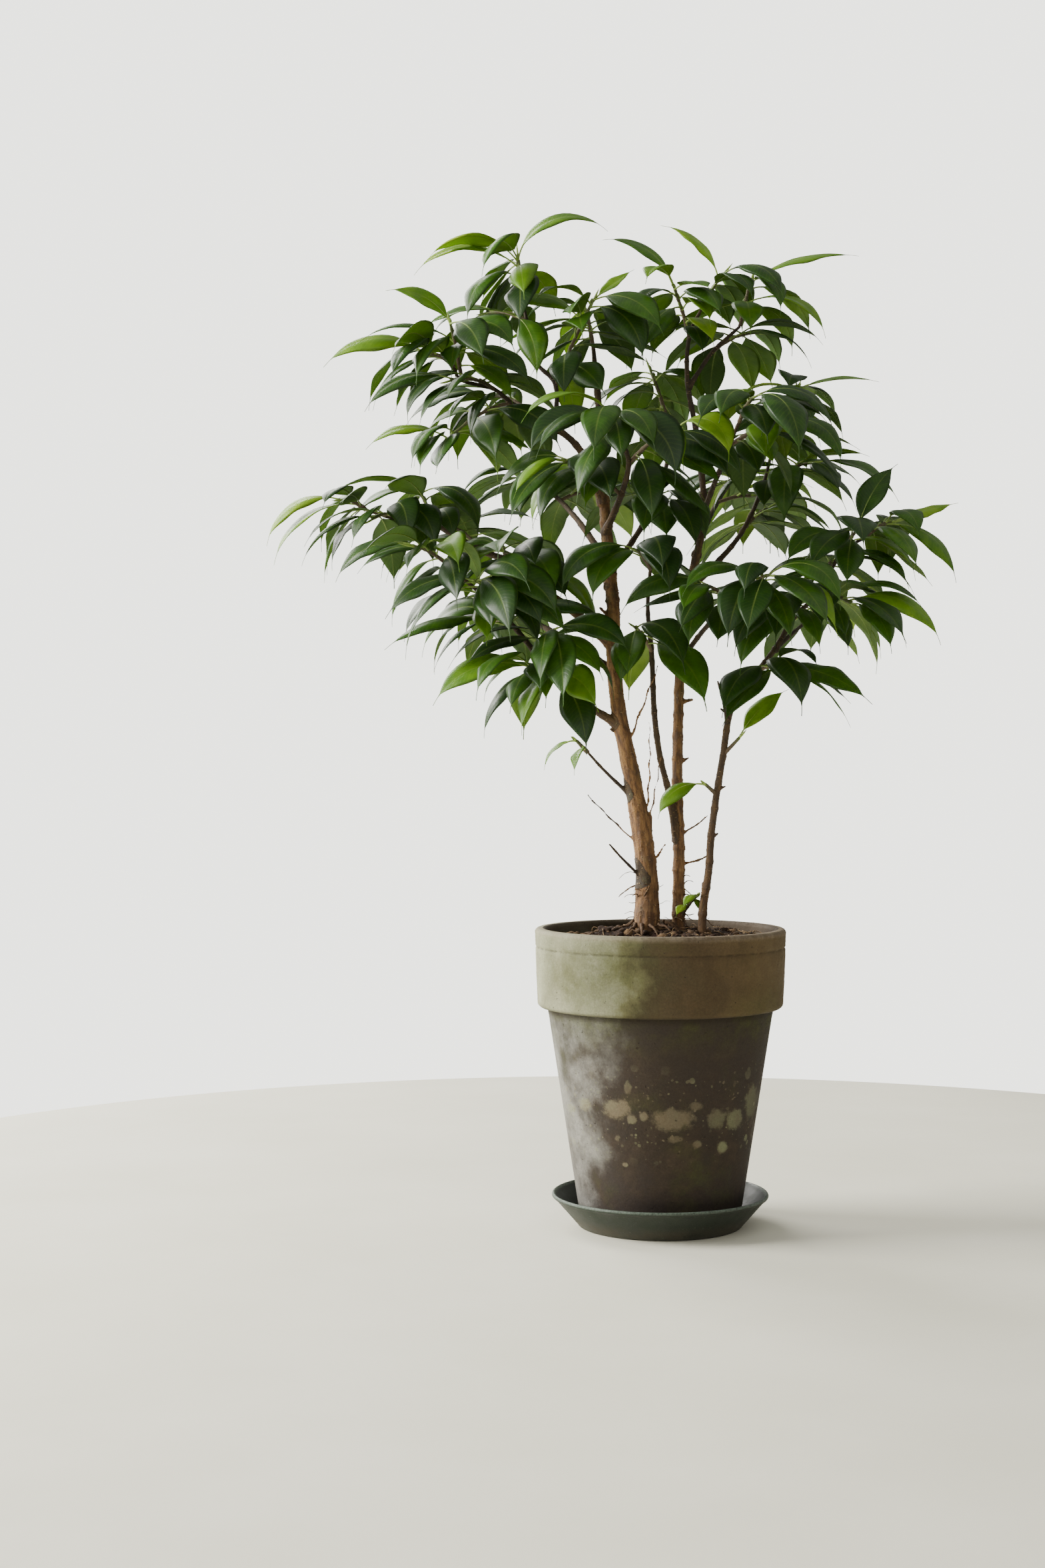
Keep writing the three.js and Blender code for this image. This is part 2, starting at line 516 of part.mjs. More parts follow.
// Sample points that leaves keep clear of: each is [x, y, z, room].
function stemSamples() {
  const samples = [];
  for (const stem of Object.values(STEMS)) {
    for (const points of stem.limbs) {
      const curve = limbCurve(points);
      const count = (points.length - 1) * STEM_SAMPLES;
      for (let i = 0; i <= count; i++) {
        const p = curve.getPoint(i / count);
        samples.push({ p, room: limbRadius(points, i / count) + STEM_GAP, owner: "" });
      }
    }
  }
  for (const [name, shoot] of Object.entries(SHOOTS)) {
    const curve = twigCurve(shoot);
    const count = 10;
    for (let i = 0; i <= count; i++) {
      samples.push({ p: curve.getPoint(i / count), room: TWIG_RADIUS + STEM_GAP, owner: name });
    }
  }
  return samples;
}

function leafSamples(leaf) {
  const points = [0.6, 1].map((share) => leafFrame(leaf, leaf.petiole * share).point);
  for (let i = 1; i <= BLADE_STATIONS; i++) {
    for (const side of BLADE_ACROSS) points.push(bladePoint(leaf, i / BLADE_STATIONS, side));
  }
  return points;
}

function isClear(points, shoot, taken) {
  const box = new THREE.Box3().setFromPoints(points).expandByScalar(LEAF_GAP * 3);
  const near = taken.filter((sample) => sample.owner !== shoot && box.containsPoint(sample.p));
  return points.every((p) => near.every((sample) => p.distanceToSquared(sample.p) > sample.room ** 2));
}

function clearOfLeaves(points, leaves) {
  const box = new THREE.Box3().setFromPoints(points).expandByScalar(LEAF_GAP);
  const near = leaves.filter((sample) => box.containsPoint(sample));
  return points.every((p) => near.every((sample) => p.distanceToSquared(sample) > LEAF_GAP ** 2));
}

// How far a blade turns about its midrib to face outwards and to the light.
function lightTilt(root, heading, most) {
  const outward = new THREE.Vector2(root.x, root.y).sub(PLANT_AXIS).normalize();
  const facing = outward.multiplyScalar(OUTWARD_SHARE).add(LEAF_LIGHT);
  return -most * (-Math.sin(heading) * facing.x + Math.cos(heading) * facing.y);
}

function makeLeaf(name, along, heading, startPitch, endPitch, size, roll, tilt = LEAF_TILT) {
  const length = LEAF_LENGTH * size;
  const root = twigCurve(SHOOTS[name]).getPoint(along);
  return {
    shoot: name,
    root,
    heading: degrees(heading),
    startPitch: degrees(startPitch),
    endPitch: degrees(endPitch),
    length,
    halfWidth: (LEAF_WIDTH / 2) * size,
    petiole: PETIOLE_LENGTH * Math.min(1, size),
    tilt: degrees(lightTilt(root, degrees(heading), tilt)),
    roll: degrees(roll),
  };
}

// The leaves of the whole plant: the outline leaves first, then each shoot's own in turn. A leaf that
// has no room at any of the turns tried is left out.
function planLeaves() {
  const taken = stemSamples();
  const leafPoints = [];
  const leaves = [];
  const place = (leaf) => {
    const points = leafSamples(leaf);
    if (!isClear(points, leaf.shoot, taken) || !clearOfLeaves(points, leafPoints)) return false;
    leafPoints.push(...points);
    leaves.push(leaf);
    return true;
  };
  for (const [name, along, heading, startPitch, endPitch, size] of OUTLINE_LEAVES) {
    place(makeLeaf(name, along, heading, startPitch, endPitch, size, 0, OUTLINE_TILT));
  }
  Object.entries(SHOOTS).forEach(([name, [root, tip, , count, size]], index) => {
    const random = makeRandom(101 + index * 7919);
    const twigHeading = THREE.MathUtils.radToDeg(Math.atan2(tip[1] - root[1], tip[0] - root[0]));
    for (let i = 0; i < count; i++) {
      const along = FIRST_LEAF + ((1 - FIRST_LEAF) * i) / Math.max(1, count - 1);
      const side = i % 2 ? -1 : 1;
      const spread = side * LEAF_SPREAD * (i === count - 1 ? 0.25 : 1);
      const heading = twigHeading + spread + 24 * (random() - 0.5);
      const startPitch = LEAF_START_PITCH[0] + (LEAF_START_PITCH[1] - LEAF_START_PITCH[0]) * random();
      const endPitch = LEAF_END_PITCH[0] + (LEAF_END_PITCH[1] - LEAF_END_PITCH[0]) * random();
      const leafSize = size * (0.8 + 0.3 * random());
      const roll = LEAF_ROLL * 2 * (random() - 0.5);
      LEAF_TRIES.some(([turn, lift]) =>
        place(makeLeaf(name, along, heading + turn, startPitch, endPitch + lift, leafSize, roll)),
      );
    }
  });
  return leaves;
}

function makeShoot(name, leaves, grownStems) {
  const curve = twigCurve(SHOOTS[name]);
  const radiusAt = (t) => TWIG_RADIUS + (TWIG_TIP_RADIUS - TWIG_RADIUS) * t;
  const twig = solidOf(taperedTube(curve, radiusAt, 4, 3));
  const own = leaves.filter((leaf) => leaf.shoot === name).map(leafSolid);
  const whole = wasm.Manifold.union([twig, ...own]);
  return geometryOf(largestBody(whole.subtract(grownStems)).simplify(SLIVER));
}

// ---------------------------------------------------------------- assembly
function addMesh(group, name, geometry, colour, roughness) {
  const material = new THREE.MeshStandardMaterial({ color: colour, roughness, metalness: 0 });
  const mesh = new THREE.Mesh(geometry, material);
  mesh.name = name;
  group.add(mesh);
}

const plant = new THREE.Group();
addMesh(plant, "saucer", makeSaucer(), 0x33433a, 0.5);
addMesh(plant, "pot", makePot(), 0x8b8069, 0.9);
addMesh(plant, "soil", makeSoil(), 0x2f241c, 1);
for (const [name, stem] of Object.entries(STEMS)) {
  addMesh(plant, name, geometryOf(stemSolid(stem)), stem.colour, 0.85);
}
const grownStems = wasm.Manifold.union(Object.values(STEMS).map((stem) => stemSolid(stem, CLEARANCE)));
const leaves = planLeaves();
Object.keys(SHOOTS).forEach((name, index) => {
  const colour = new THREE.Color().setHSL(0.29 + 0.03 * (index % 3), 0.45, 0.26 + 0.03 * (index % 4));
  addMesh(plant, name, makeShoot(name, leaves, grownStems), colour, 0.35);
});

export default plant;
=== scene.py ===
# The looks of the potted weeping fig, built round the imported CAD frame. Lengths in the plan of the
# plant are millimetres, as in the CAD source; every Blender object is in metres.
import math
import random

import bmesh
import bpy
import numpy as np
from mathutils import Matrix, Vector, kdtree, noise


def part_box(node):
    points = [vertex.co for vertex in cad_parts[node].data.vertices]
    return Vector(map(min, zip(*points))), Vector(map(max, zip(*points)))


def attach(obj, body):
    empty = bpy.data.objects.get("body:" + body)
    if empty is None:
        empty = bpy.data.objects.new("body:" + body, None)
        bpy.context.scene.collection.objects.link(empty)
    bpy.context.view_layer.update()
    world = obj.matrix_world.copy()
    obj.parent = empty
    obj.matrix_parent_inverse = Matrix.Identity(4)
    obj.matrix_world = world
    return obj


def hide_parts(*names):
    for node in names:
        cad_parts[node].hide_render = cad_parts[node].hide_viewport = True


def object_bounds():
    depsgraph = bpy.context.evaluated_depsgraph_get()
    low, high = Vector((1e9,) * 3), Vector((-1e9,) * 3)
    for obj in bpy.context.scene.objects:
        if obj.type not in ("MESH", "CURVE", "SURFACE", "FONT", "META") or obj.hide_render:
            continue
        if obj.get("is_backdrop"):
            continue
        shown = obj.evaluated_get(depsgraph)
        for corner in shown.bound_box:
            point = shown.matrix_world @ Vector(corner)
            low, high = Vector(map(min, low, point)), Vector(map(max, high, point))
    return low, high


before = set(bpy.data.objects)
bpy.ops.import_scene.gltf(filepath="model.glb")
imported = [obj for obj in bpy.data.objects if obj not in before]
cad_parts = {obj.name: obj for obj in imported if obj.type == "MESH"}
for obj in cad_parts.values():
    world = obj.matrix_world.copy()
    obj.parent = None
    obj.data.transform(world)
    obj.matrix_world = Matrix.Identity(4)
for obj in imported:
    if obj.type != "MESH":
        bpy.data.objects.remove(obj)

CAD_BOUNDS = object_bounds()
MM = 0.001

# ------------------------------------------------------------------ sizes taken from the frame
POT_LOW, POT_HIGH = (Vector(corner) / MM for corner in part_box("pot"))
SAUCER_LOW, SAUCER_HIGH = (Vector(corner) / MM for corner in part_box("saucer"))
SOIL_LOW, SOIL_HIGH = (Vector(corner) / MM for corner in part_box("soil"))
RIM_Z = POT_HIGH.z
POT_Z = POT_LOW.z
POT_HEIGHT = RIM_Z - POT_Z
RIM_RADIUS = POT_HIGH.x

# ------------------------------------------------------------------ sizes shared with the CAD source
POT_BASE_RADIUS = 54
POT_BODY_TOP_RADIUS = 76.5
POT_COLLAR_HEIGHT = 53
POT_COLLAR_TAPER = 2
POT_WALL = 8.5
POT_FLOOR = 12
POT_EDGE = 3
DRAIN_RADIUS = 10
SAUCER_BASE_RADIUS = 56
SAUCER_FLOOR = 2.5
SAUCER_WALL = 2.2
SAUCER_LIP = 1.4
SOIL_BELOW_RIM = 13
SOIL_MOUND = 9
STEM_DEPTH = 32
LEAF_LENGTH = 64
LEAF_WIDTH = 26
PETIOLE_LENGTH = 11
PETIOLE_RADIUS = 0.6
TWIG_RADIUS = 1.3
TWIG_TIP_RADIUS = 0.8
SOCKET = -(SOIL_BELOW_RIM + STEM_DEPTH)

# ------------------------------------------------------------------ the plant's skeleton
# The same points as the CAD source: x, y, height above the rim, radius.
STEMS = {
    "trunk_left": [
        # the trunk itself
        [[-9, 0, SOCKET, 9.8], [-9, 0, 0, 9], [-9, 0, 25, 7.8], [-11, -1, 55, 6.8], [-19, -2, 100, 5.8],
          [-28, -3, 145, 5.1], [-32, -3, 185, 4.7], [-32, -2, 215, 4.5], [-35, 0, 250, 4.2],
          [-38, 2, 290, 3.5], [-41, 4, 345, 2.5], [-45, 6, 390, 1.5]],
        # low left branch
        [[-30, -3, 138, 2.6], [-49, -8, 150, 2.3], [-69, -14, 166, 2.1], [-84, -20, 184, 1.9],
          [-100, -26, 203, 1.7], [-117, -32, 220, 1.5], [-139, -40, 238, 1.2]],
        # long left branch
        [[-33, -2, 192, 3.4], [-63, 8, 217, 3], [-86, 14, 233, 2.7], [-104, 20, 249, 2.4],
          [-123, 24, 257, 2.1], [-153, 26, 274, 1.8], [-175, 26, 277, 1.5], [-200, 24, 284, 1.2]],
        # upper left limb
        [[-38, 2, 286, 2.9], [-54, -6, 320, 2.4], [-72, -12, 336, 2.1], [-88, -16, 345, 1.8],
          [-100, -20, 350, 1.6], [-112, -24, 359, 1.4], [-133, -28, 364, 1.2], [-138, -30, 372, 1]],
        # the leader that climbs from the upper left limb
        [[-71, -12, 335, 1.7], [-71, -10, 364, 1.5], [-84, -8, 380, 1.4], [-90, -6, 407, 1.2],
          [-94, -6, 426, 1]],
        # back limb
        [[-34, -1, 230, 2.9], [-40, 30, 255, 2.5], [-52, 62, 278, 2.1], [-66, 92, 298, 1.7],
          [-80, 115, 312, 1.3]],
        # front limb
        [[-37, 1, 266, 2.5], [-28, -28, 288, 2.1], [-24, -58, 305, 1.7], [-30, -84, 317, 1.3]],
        # inner limb that crosses to the right
        [[-34, -1, 240, 2.4], [-18, 10, 262, 2], [-2, 24, 290, 1.7], [6, 34, 315, 1.4], [8, 42, 345, 1.2]],
        # back left limb
        [[-31, -3, 172, 2.6], [-55, 28, 192, 2.2], [-82, 58, 208, 1.8], [-108, 84, 224, 1.3]],
        # two dead twigs
        [[-21, -2, 90, 1.4], [-37, -6, 105, 1.1], [-49, -9, 118, 0.9]],
        [[-12, -2, 33, 1.1], [-27, -8, 48, 0.9], [-35, -12, 57, 0.7]],
    ],
    "stem_centre": [
        [[13, 8, SOCKET, 4.7], [13, 8, 0, 4.4], [13, 8, 25, 4], [13, 8, 62, 3.8], [12, 9, 100, 3.6],
          [13, 10, 150, 3.4], [15, 11, 200, 3.1], [20, 12, 230, 2.9], [27, 13, 260, 2.6],
          [30, 14, 290, 2.3], [26, 14, 330, 2], [19, 12, 370, 1.7], [20, 10, 400, 1.4], [28, 8, 418, 1.1]],
        # thin fork that climbs beside the trunk
        [[12, 8, 58, 2.4], [6, 4, 90, 2.2], [0, 1, 115, 2.1], [-4, 0, 145, 2], [-6, -1, 186, 1.8],
          [-9, -8, 215, 1.5], [-8, -20, 240, 1.2]],
        # right limb
        [[20, 12, 228, 2.3], [40, 20, 248, 2], [58, 28, 270, 1.7], [72, 34, 300, 1.4], [80, 38, 330, 1.1]],
        # back limb
        [[25, 13, 252, 2.3], [34, 45, 275, 2], [45, 78, 295, 1.6], [55, 108, 310, 1.2]],
        # front limb
        [[29, 14, 278, 2.1], [36, -15, 300, 1.8], [42, -45, 318, 1.5], [46, -75, 330, 1.1]],
        # crown limb to the right
        [[20, 12, 366, 1.6], [36, 14, 390, 1.4], [55, 16, 408, 1.1]],
        # low front limb
        [[14, 11, 180, 2], [30, -12, 202, 1.7], [44, -38, 215, 1.4], [56, -62, 224, 1.1]],
    ],
    "stem_right": [
        [[27, -7, SOCKET, 3.2], [28, -7, 8, 2.9], [32, -7, 37, 2.6], [34, -8, 65, 2.5], [37, -9, 88, 2.4],
          [41, -10, 113, 2.3], [45, -11, 141, 2.2], [51, -12, 156, 2.1], [64, -13, 172, 2],
          [77, -14, 189, 1.9], [88, -15, 208, 1.8], [100, -15, 220, 1.6], [111, -14, 237, 1.5],
          [122, -13, 253, 1.3], [136, -12, 262, 1]],
        # back limb
        [[76, -14, 187, 1.7], [92, 20, 200, 1.4], [108, 52, 212, 1.1]],
        # dead twig
        [[44, -11, 138, 1.1], [41, -15, 152, 0.9], [37, -18, 166, 0.7]],
    ],
}

# Root, tip, arch, number of leaves and leaf size of each leafy shoot
SHOOTS = {
    "shoot_far_left_end": [[-200, 24, 284], [-216, 18, 290], 2, 8, 0.95],
    "shoot_far_left_front": [[-175, 26, 277], [-194, -8, 274], 4, 9, 0.95],
    "shoot_far_left_back": [[-153, 26, 274], [-166, 44, 302], 2, 8, 0.9],
    "shoot_left_front_end": [[-139, -40, 238], [-164, -56, 252], 3, 9, 0.95],
    "shoot_left_back": [[-123, 24, 257], [-146, 58, 276], 4, 9, 1],
    "shoot_left_mid_back": [[-104, 20, 249], [-110, 66, 266], 4, 8, 1],
    "shoot_left_low_front": [[-117, -32, 220], [-124, -70, 228], 4, 8, 1],
    "shoot_left_low_hang": [[-100, -26, 203], [-116, -6, 204], 3, 7, 1.05],
    "shoot_left_lowest": [[-69, -14, 166], [-86, -40, 172], 3, 7, 1],
    "shoot_left_low_inner": [[-84, -20, 184], [-72, -58, 198], 3, 8, 1],
    "shoot_left_mid_front": [[-86, 14, 233], [-106, -20, 252], 5, 9, 1.05],
    "shoot_dead_twig_leaf": [[-49, -9, 118], [-57, -11, 126], 0, 2, 0.45],
    "shoot_upper_left_end": [[-138, -30, 372], [-156, -34, 380], 3, 8, 0.95],
    "shoot_upper_left_top": [[-133, -28, 364], [-140, -46, 398], 2, 7, 0.85],
    "shoot_upper_left_front": [[-112, -24, 359], [-140, -62, 358], 4, 9, 0.95],
    "shoot_upper_left_low": [[-100, -20, 350], [-142, -22, 326], 5, 9, 0.95],
    "shoot_upper_left_back": [[-88, -16, 345], [-122, 22, 360], 5, 9, 0.95],
    "shoot_top_left": [[-94, -6, 426], [-96, -6, 448], 0, 7, 1],
    "shoot_top_left_side": [[-90, -6, 407], [-118, 12, 416], 3, 8, 0.9],
    "shoot_crown_left": [[-71, -10, 364], [-46, -22, 418], 2, 9, 0.9],
    "shoot_trunk_top": [[-45, 6, 390], [-50, 18, 420], 2, 8, 0.9],
    "shoot_front_end": [[-30, -84, 317], [-38, -112, 330], 3, 9, 1],
    "shoot_front_left": [[-28, -28, 288], [-66, -66, 306], 5, 9, 1],
    "shoot_front_right": [[-24, -58, 305], [4, -92, 322], 4, 8, 1],
    "shoot_inner_top": [[8, 42, 345], [-4, 50, 384], 2, 8, 0.9],
    "shoot_inner_front": [[-2, 24, 290], [2, -26, 284], 5, 8, 1],
    "shoot_fork_top": [[-8, -20, 240], [-20, -52, 250], 3, 9, 1],
    "shoot_fork_low": [[-6, -1, 186], [-20, -36, 201], 3, 6, 1],
    "shoot_crown_middle": [[20, 10, 400], [8, -4, 432], 2, 8, 0.9],
    "shoot_crown_right": [[28, 8, 418], [42, 2, 440], 2, 6, 0.85],
    "shoot_crown_right_end": [[55, 16, 408], [62, 12, 438], 2, 7, 0.95],
    "shoot_crown_right_back": [[36, 14, 390], [70, 42, 408], 4, 8, 0.9],
    "shoot_right_top": [[80, 38, 330], [96, 34, 368], 2, 8, 0.9],
    "shoot_right_upper": [[72, 34, 300], [104, 6, 314], 4, 9, 0.95],
    "shoot_right_upper_back": [[58, 28, 270], [84, 64, 290], 4, 8, 1],
    "shoot_far_right_end": [[136, -12, 262], [154, -12, 272], 2, 8, 0.9],
    "shoot_far_right_front": [[122, -13, 253], [128, -48, 264], 3, 8, 0.95],
    "shoot_far_right_back": [[111, -14, 237], [120, 26, 248], 4, 8, 0.95],
    "shoot_right_low_end": [[100, -15, 220], [124, -34, 216], 4, 8, 0.95],
    "shoot_right_low_front": [[88, -15, 208], [82, -58, 224], 4, 9, 1],
    "shoot_right_lowest": [[64, -13, 172], [82, -32, 174], 3, 7, 1.05],
    "shoot_right_back": [[108, 52, 212], [122, 82, 222], 3, 8, 1],
    "shoot_front_low": [[56, -62, 224], [64, -94, 230], 3, 9, 1],
    "shoot_front_low_left": [[44, -38, 215], [22, -72, 226], 3, 8, 1],
    "shoot_front_upper": [[46, -75, 330], [52, -108, 340], 3, 9, 0.95],
    "shoot_front_upper_right": [[42, -45, 318], [76, -68, 328], 4, 8, 0.95],
    "shoot_back_right": [[55, 108, 310], [64, 140, 318], 3, 9, 1],
    "shoot_back_right_side": [[45, 78, 295], [88, 102, 300], 4, 8, 1],
    "shoot_back_left": [[-80, 115, 312], [-94, 142, 320], 3, 9, 1],
    "shoot_back_middle": [[-66, 92, 298], [-26, 122, 308], 4, 9, 1],
    "shoot_back_low": [[-108, 84, 224], [-132, 106, 230], 3, 8, 1],
    "sucker_shoot": [[13, 8, 4], [25, -8, 22], 2, 4, 0.3],
    "shoot_stem_right_upper": [[42, -10.5, 117], [52, -14, 128], 0, 0, 0.6],
    "shoot_stem_right_lower": [[37.5, -9, 90], [29, -14, 97], 0, 0, 0.5],
}

# Shoot, place along its twig, heading, pitch at the root and at the tip, and size
OUTLINE_LEAVES = [
    ["shoot_far_left_end", 1, 178, 20, -82, 0.92],
    ["shoot_far_left_end", 0.3, 190, 8, -80, 1.07],
    ["shoot_far_left_front", 0.6, 205, 20, -66, 0.92],
    ["shoot_far_left_back", 0.8, 172, 22, -70, 0.82],
    ["shoot_left_front_end", 0.9, 190, 22, -70, 0.87],
    ["shoot_left_low_hang", 0.7, 196, 12, -42, 1.11],
    ["shoot_left_low_inner", 0.4, 200, 10, -48, 0.82],
    ["shoot_left_lowest", 0.9, 184, 24, -62, 1.07],
    ["shoot_left_lowest", 0.2, 300, 10, -60, 0.87],
    ["shoot_upper_left_end", 1, 180, 38, -52, 1.02],
    ["shoot_upper_left_top", 0.9, 176, 70, -10, 0.73],
    ["shoot_upper_left_front", 0.9, 192, 20, -62, 0.92],
    ["shoot_upper_left_low", 1, 186, 36, -52, 0.82],
    ["shoot_upper_left_back", 0.8, 168, 24, -60, 0.92],
    ["shoot_top_left", 0.75, 186, 46, -56, 1.09],
    ["shoot_top_left", 1, 2, 80, -44, 1.05],
    ["shoot_top_left_side", 1, 190, -20, -84, 0.58],
    ["shoot_crown_left", 0.7, 184, 60, -46, 0.82],
    ["shoot_crown_left", 1, 15, 46, 30, 0.48],
    ["shoot_crown_middle", 1, 176, 74, -8, 0.82],
    ["shoot_crown_right", 0.8, 170, 80, 8, 0.78],
    ["shoot_crown_right", 1, 60, 84, 78, 0.44],
    ["shoot_crown_right_end", 1, -4, 34, -10, 1.02],
    ["shoot_crown_right_end", 0.4, -20, 30, -80, 0.97],
    ["shoot_right_top", 1, 0, 26, -16, 0.78],
    ["shoot_right_top", 0.7, -10, -20, -78, 0.78],
    ["shoot_right_upper", 1, -8, 14, -66, 0.92],
    ["shoot_right_upper", 0.5, 196, 24, -40, 0.82],
    ["shoot_far_right_end", 1, 4, 24, 8, 0.63],
    ["shoot_far_right_end", 0.7, -14, 4, -84, 0.92],
    ["shoot_far_right_front", 0.8, 30, 76, 30, 0.78],
    ["shoot_right_low_end", 0.9, -8, 24, -76, 1.02],
    ["shoot_right_lowest", 0.3, -30, 6, -44, 1.11],
    ["shoot_right_lowest", 1, -12, -10, -52, 1.02],
    ["shoot_fork_low", 0.6, 250, 0, -84, 0.87],
    ["shoot_front_left", 0.8, 215, 0, -80, 0.97],
    ["shoot_inner_front", 0.9, 250, 20, -86, 0.92],
    ["shoot_stem_right_upper", 0.95, 20, 62, 22, 0.68],
    ["shoot_stem_right_upper", 0.35, 200, 0, -100, 0.45],
    ["shoot_stem_right_lower", 0.35, 25, 52, -8, 0.42],
    ["shoot_stem_right_lower", 0.95, 195, 10, -78, 0.6],
]

# ------------------------------------------------------------------ how leaves are placed
# The same rules and draws as the CAD source, so that each leaf lies where its solid does.
LEAF_SPREAD = 68
LEAF_START_PITCH = (-2, 44)
LEAF_END_PITCH = (-104, -56)
LEAF_ROLL = 24
LEAF_TILT = 30
OUTLINE_TILT = 54
LEAF_LIGHT = np.array((-0.45, -0.45))
OUTWARD_SHARE = 0.6
PLANT_AXIS = np.array((-20.0, 0.0))
FIRST_LEAF = 0.22
LEAF_TRIES = (
    (0, 0), (24, 0), (-24, 0), (0, 30), (24, 30), (-24, 30), (48, 0), (-48, 0), (0, -30), (48, 30),
    (-48, 30), (80, 0), (-80, 0), (80, 30), (-80, 30), (120, 0), (-120, 0), (160, 0),
)
LEAF_GAP = 4
STEM_GAP = 3.2
BLADE_STATIONS = 10
BLADE_ACROSS = (-1, -0.5, 0, 0.5, 1)
STEM_SAMPLES = 5

FILL_GAP = 2.8
FILL_TRIES = 26
FILL_MOST = 5
FILL_MARGIN = 4

UP = np.array((0.0, 0.0, 1.0))


def unit(vector):
    return vector / np.linalg.norm(vector)


def limb_point(points, t):
    """A point of the uniform Catmull-Rom curve through a limb's points, t running from 0 to 1."""
    spots = np.array([(x, y, RIM_Z + height) for x, y, height, _ in points])
    last = len(spots) - 1
    place = t * last
    index = min(int(place), last - 1)
    share = place - index
    before = spots[index - 1] if index > 0 else 2 * spots[0] - spots[1]
    after = spots[index + 2] if index + 2 <= last else 2 * spots[last] - spots[last - 1]
    start, end = spots[index], spots[index + 1]
    leave, arrive = (end - before) / 2, (after - start) / 2
    bend = -3 * start + 3 * end - 2 * leave - arrive
    twist = 2 * start - 2 * end + leave + arrive
    return start + leave * share + bend * share**2 + twist * share**3


def limb_radius(points, t):
    place = t * (len(points) - 1)
    index = min(int(place), len(points) - 2)
    share = place - index
    return points[index][3] * (1 - share) + points[index + 1][3] * share


def twig_point(shoot, t):
    root, tip, arch = SHOOTS[shoot][:3]
    start = np.array((root[0], root[1], RIM_Z + root[2]), dtype=float)
    end = np.array((tip[0], tip[1], RIM_Z + tip[2]), dtype=float)
    middle = (start + end) / 2 + 2 * arch * UP
    return (1 - t) ** 2 * start + 2 * (1 - t) * t * middle + t * t * end


def blade_width(t):
    """Half the blade's width at t, as a share of the widest: an oval with a long drip tip."""
    oval = math.sin(math.pi * (t / 0.88) ** 0.9) if t < 0.88 else 0.0
    return math.hypot(oval, 0.1 * (1 - t))


class Leaf:
    """One leaf: where it starts on its twig, its arch, its size and its age."""

    def __init__(self, shoot, along, heading, start_pitch, end_pitch, size, roll, tilt=LEAF_TILT):
        self.shoot = shoot
        self.along = along
        self.root = twig_point(shoot, along)
        self.heading = math.radians(heading)
        self.start_pitch = math.radians(start_pitch)
        self.end_pitch = math.radians(end_pitch)
        self.size = size
        self.in_outline = tilt == OUTLINE_TILT
        self.length = LEAF_LENGTH * size
        self.half_width = LEAF_WIDTH / 2 * size
        self.petiole = PETIOLE_LENGTH * min(1, size)
        self.roll = math.radians(roll)
        self.tilt = math.radians(self.light_tilt(tilt))

    def light_tilt(self, most):
        """How far, in degrees, the blade turns about its midrib to face outwards and to the light."""
        outward = unit(self.root[:2] - PLANT_AXIS)
        facing = outward * OUTWARD_SHARE + LEAF_LIGHT
        return -most * (-math.sin(self.heading) * facing[0] + math.cos(self.heading) * facing[1])

    def frame(self, s):
        """The middle line at distance s: the point and the directions along, across and up."""
        total = self.petiole + self.length
        rate = (self.end_pitch - self.start_pitch) / total
        pitch = self.start_pitch + rate * s
        out = (math.sin(pitch) - math.sin(self.start_pitch)) / rate
        rise = (math.cos(self.start_pitch) - math.cos(pitch)) / rate
        ahead = np.array((math.cos(self.heading), math.sin(self.heading), 0.0))
        point = self.root + ahead * out + UP * rise
        along = ahead * math.cos(pitch) + UP * math.sin(pitch)
        level = np.array((-ahead[1], ahead[0], 0.0))
        above = np.cross(along, level)
        roll = self.tilt + self.roll * s / total
        across = level * math.cos(roll) + above * math.sin(roll)
        up = above * math.cos(roll) - level * math.sin(roll)
        return point, along, across, up

    def samples(self):
        points = [self.frame(self.petiole * share)[0] for share in (0.6, 1)]
        for i in range(1, BLADE_STATIONS + 1):
            t = i / BLADE_STATIONS
            point, _, across, _ = self.frame(self.petiole + t * self.length)
            reach = blade_width(t) * self.half_width
            points += [point + across * (side * reach) for side in BLADE_ACROSS]
        return np.array(points)


def make_random(seed):
    """Repeatable draws from 0 to 1, the same as the CAD source's."""
    state = seed
    while True:
        state = (state * 1664525 + 1013904223) & 0xFFFFFFFF
        yield state / 4294967296


def nearest_squared(points, others):
    return ((points[:, None, :] - others[None, :, :]) ** 2).sum(axis=2)


def stem_samples():
    """Points that leaves keep clear of, the room each needs, and the shoot that it belongs to."""
    points, rooms, owners = [], [], []
    for limbs in STEMS.values():
        for limb in limbs:
            count = (len(limb) - 1) * STEM_SAMPLES
            for i in range(count + 1):
                points.append(limb_point(limb, i / count))
                rooms.append(limb_radius(limb, i / count) + STEM_GAP)
                owners.append("")
    for name in SHOOTS:
        for i in range(11):
            points.append(twig_point(name, i / 10))
            rooms.append(TWIG_RADIUS + STEM_GAP)
            owners.append(name)
    return np.array(points), np.array(rooms), np.array(owners)


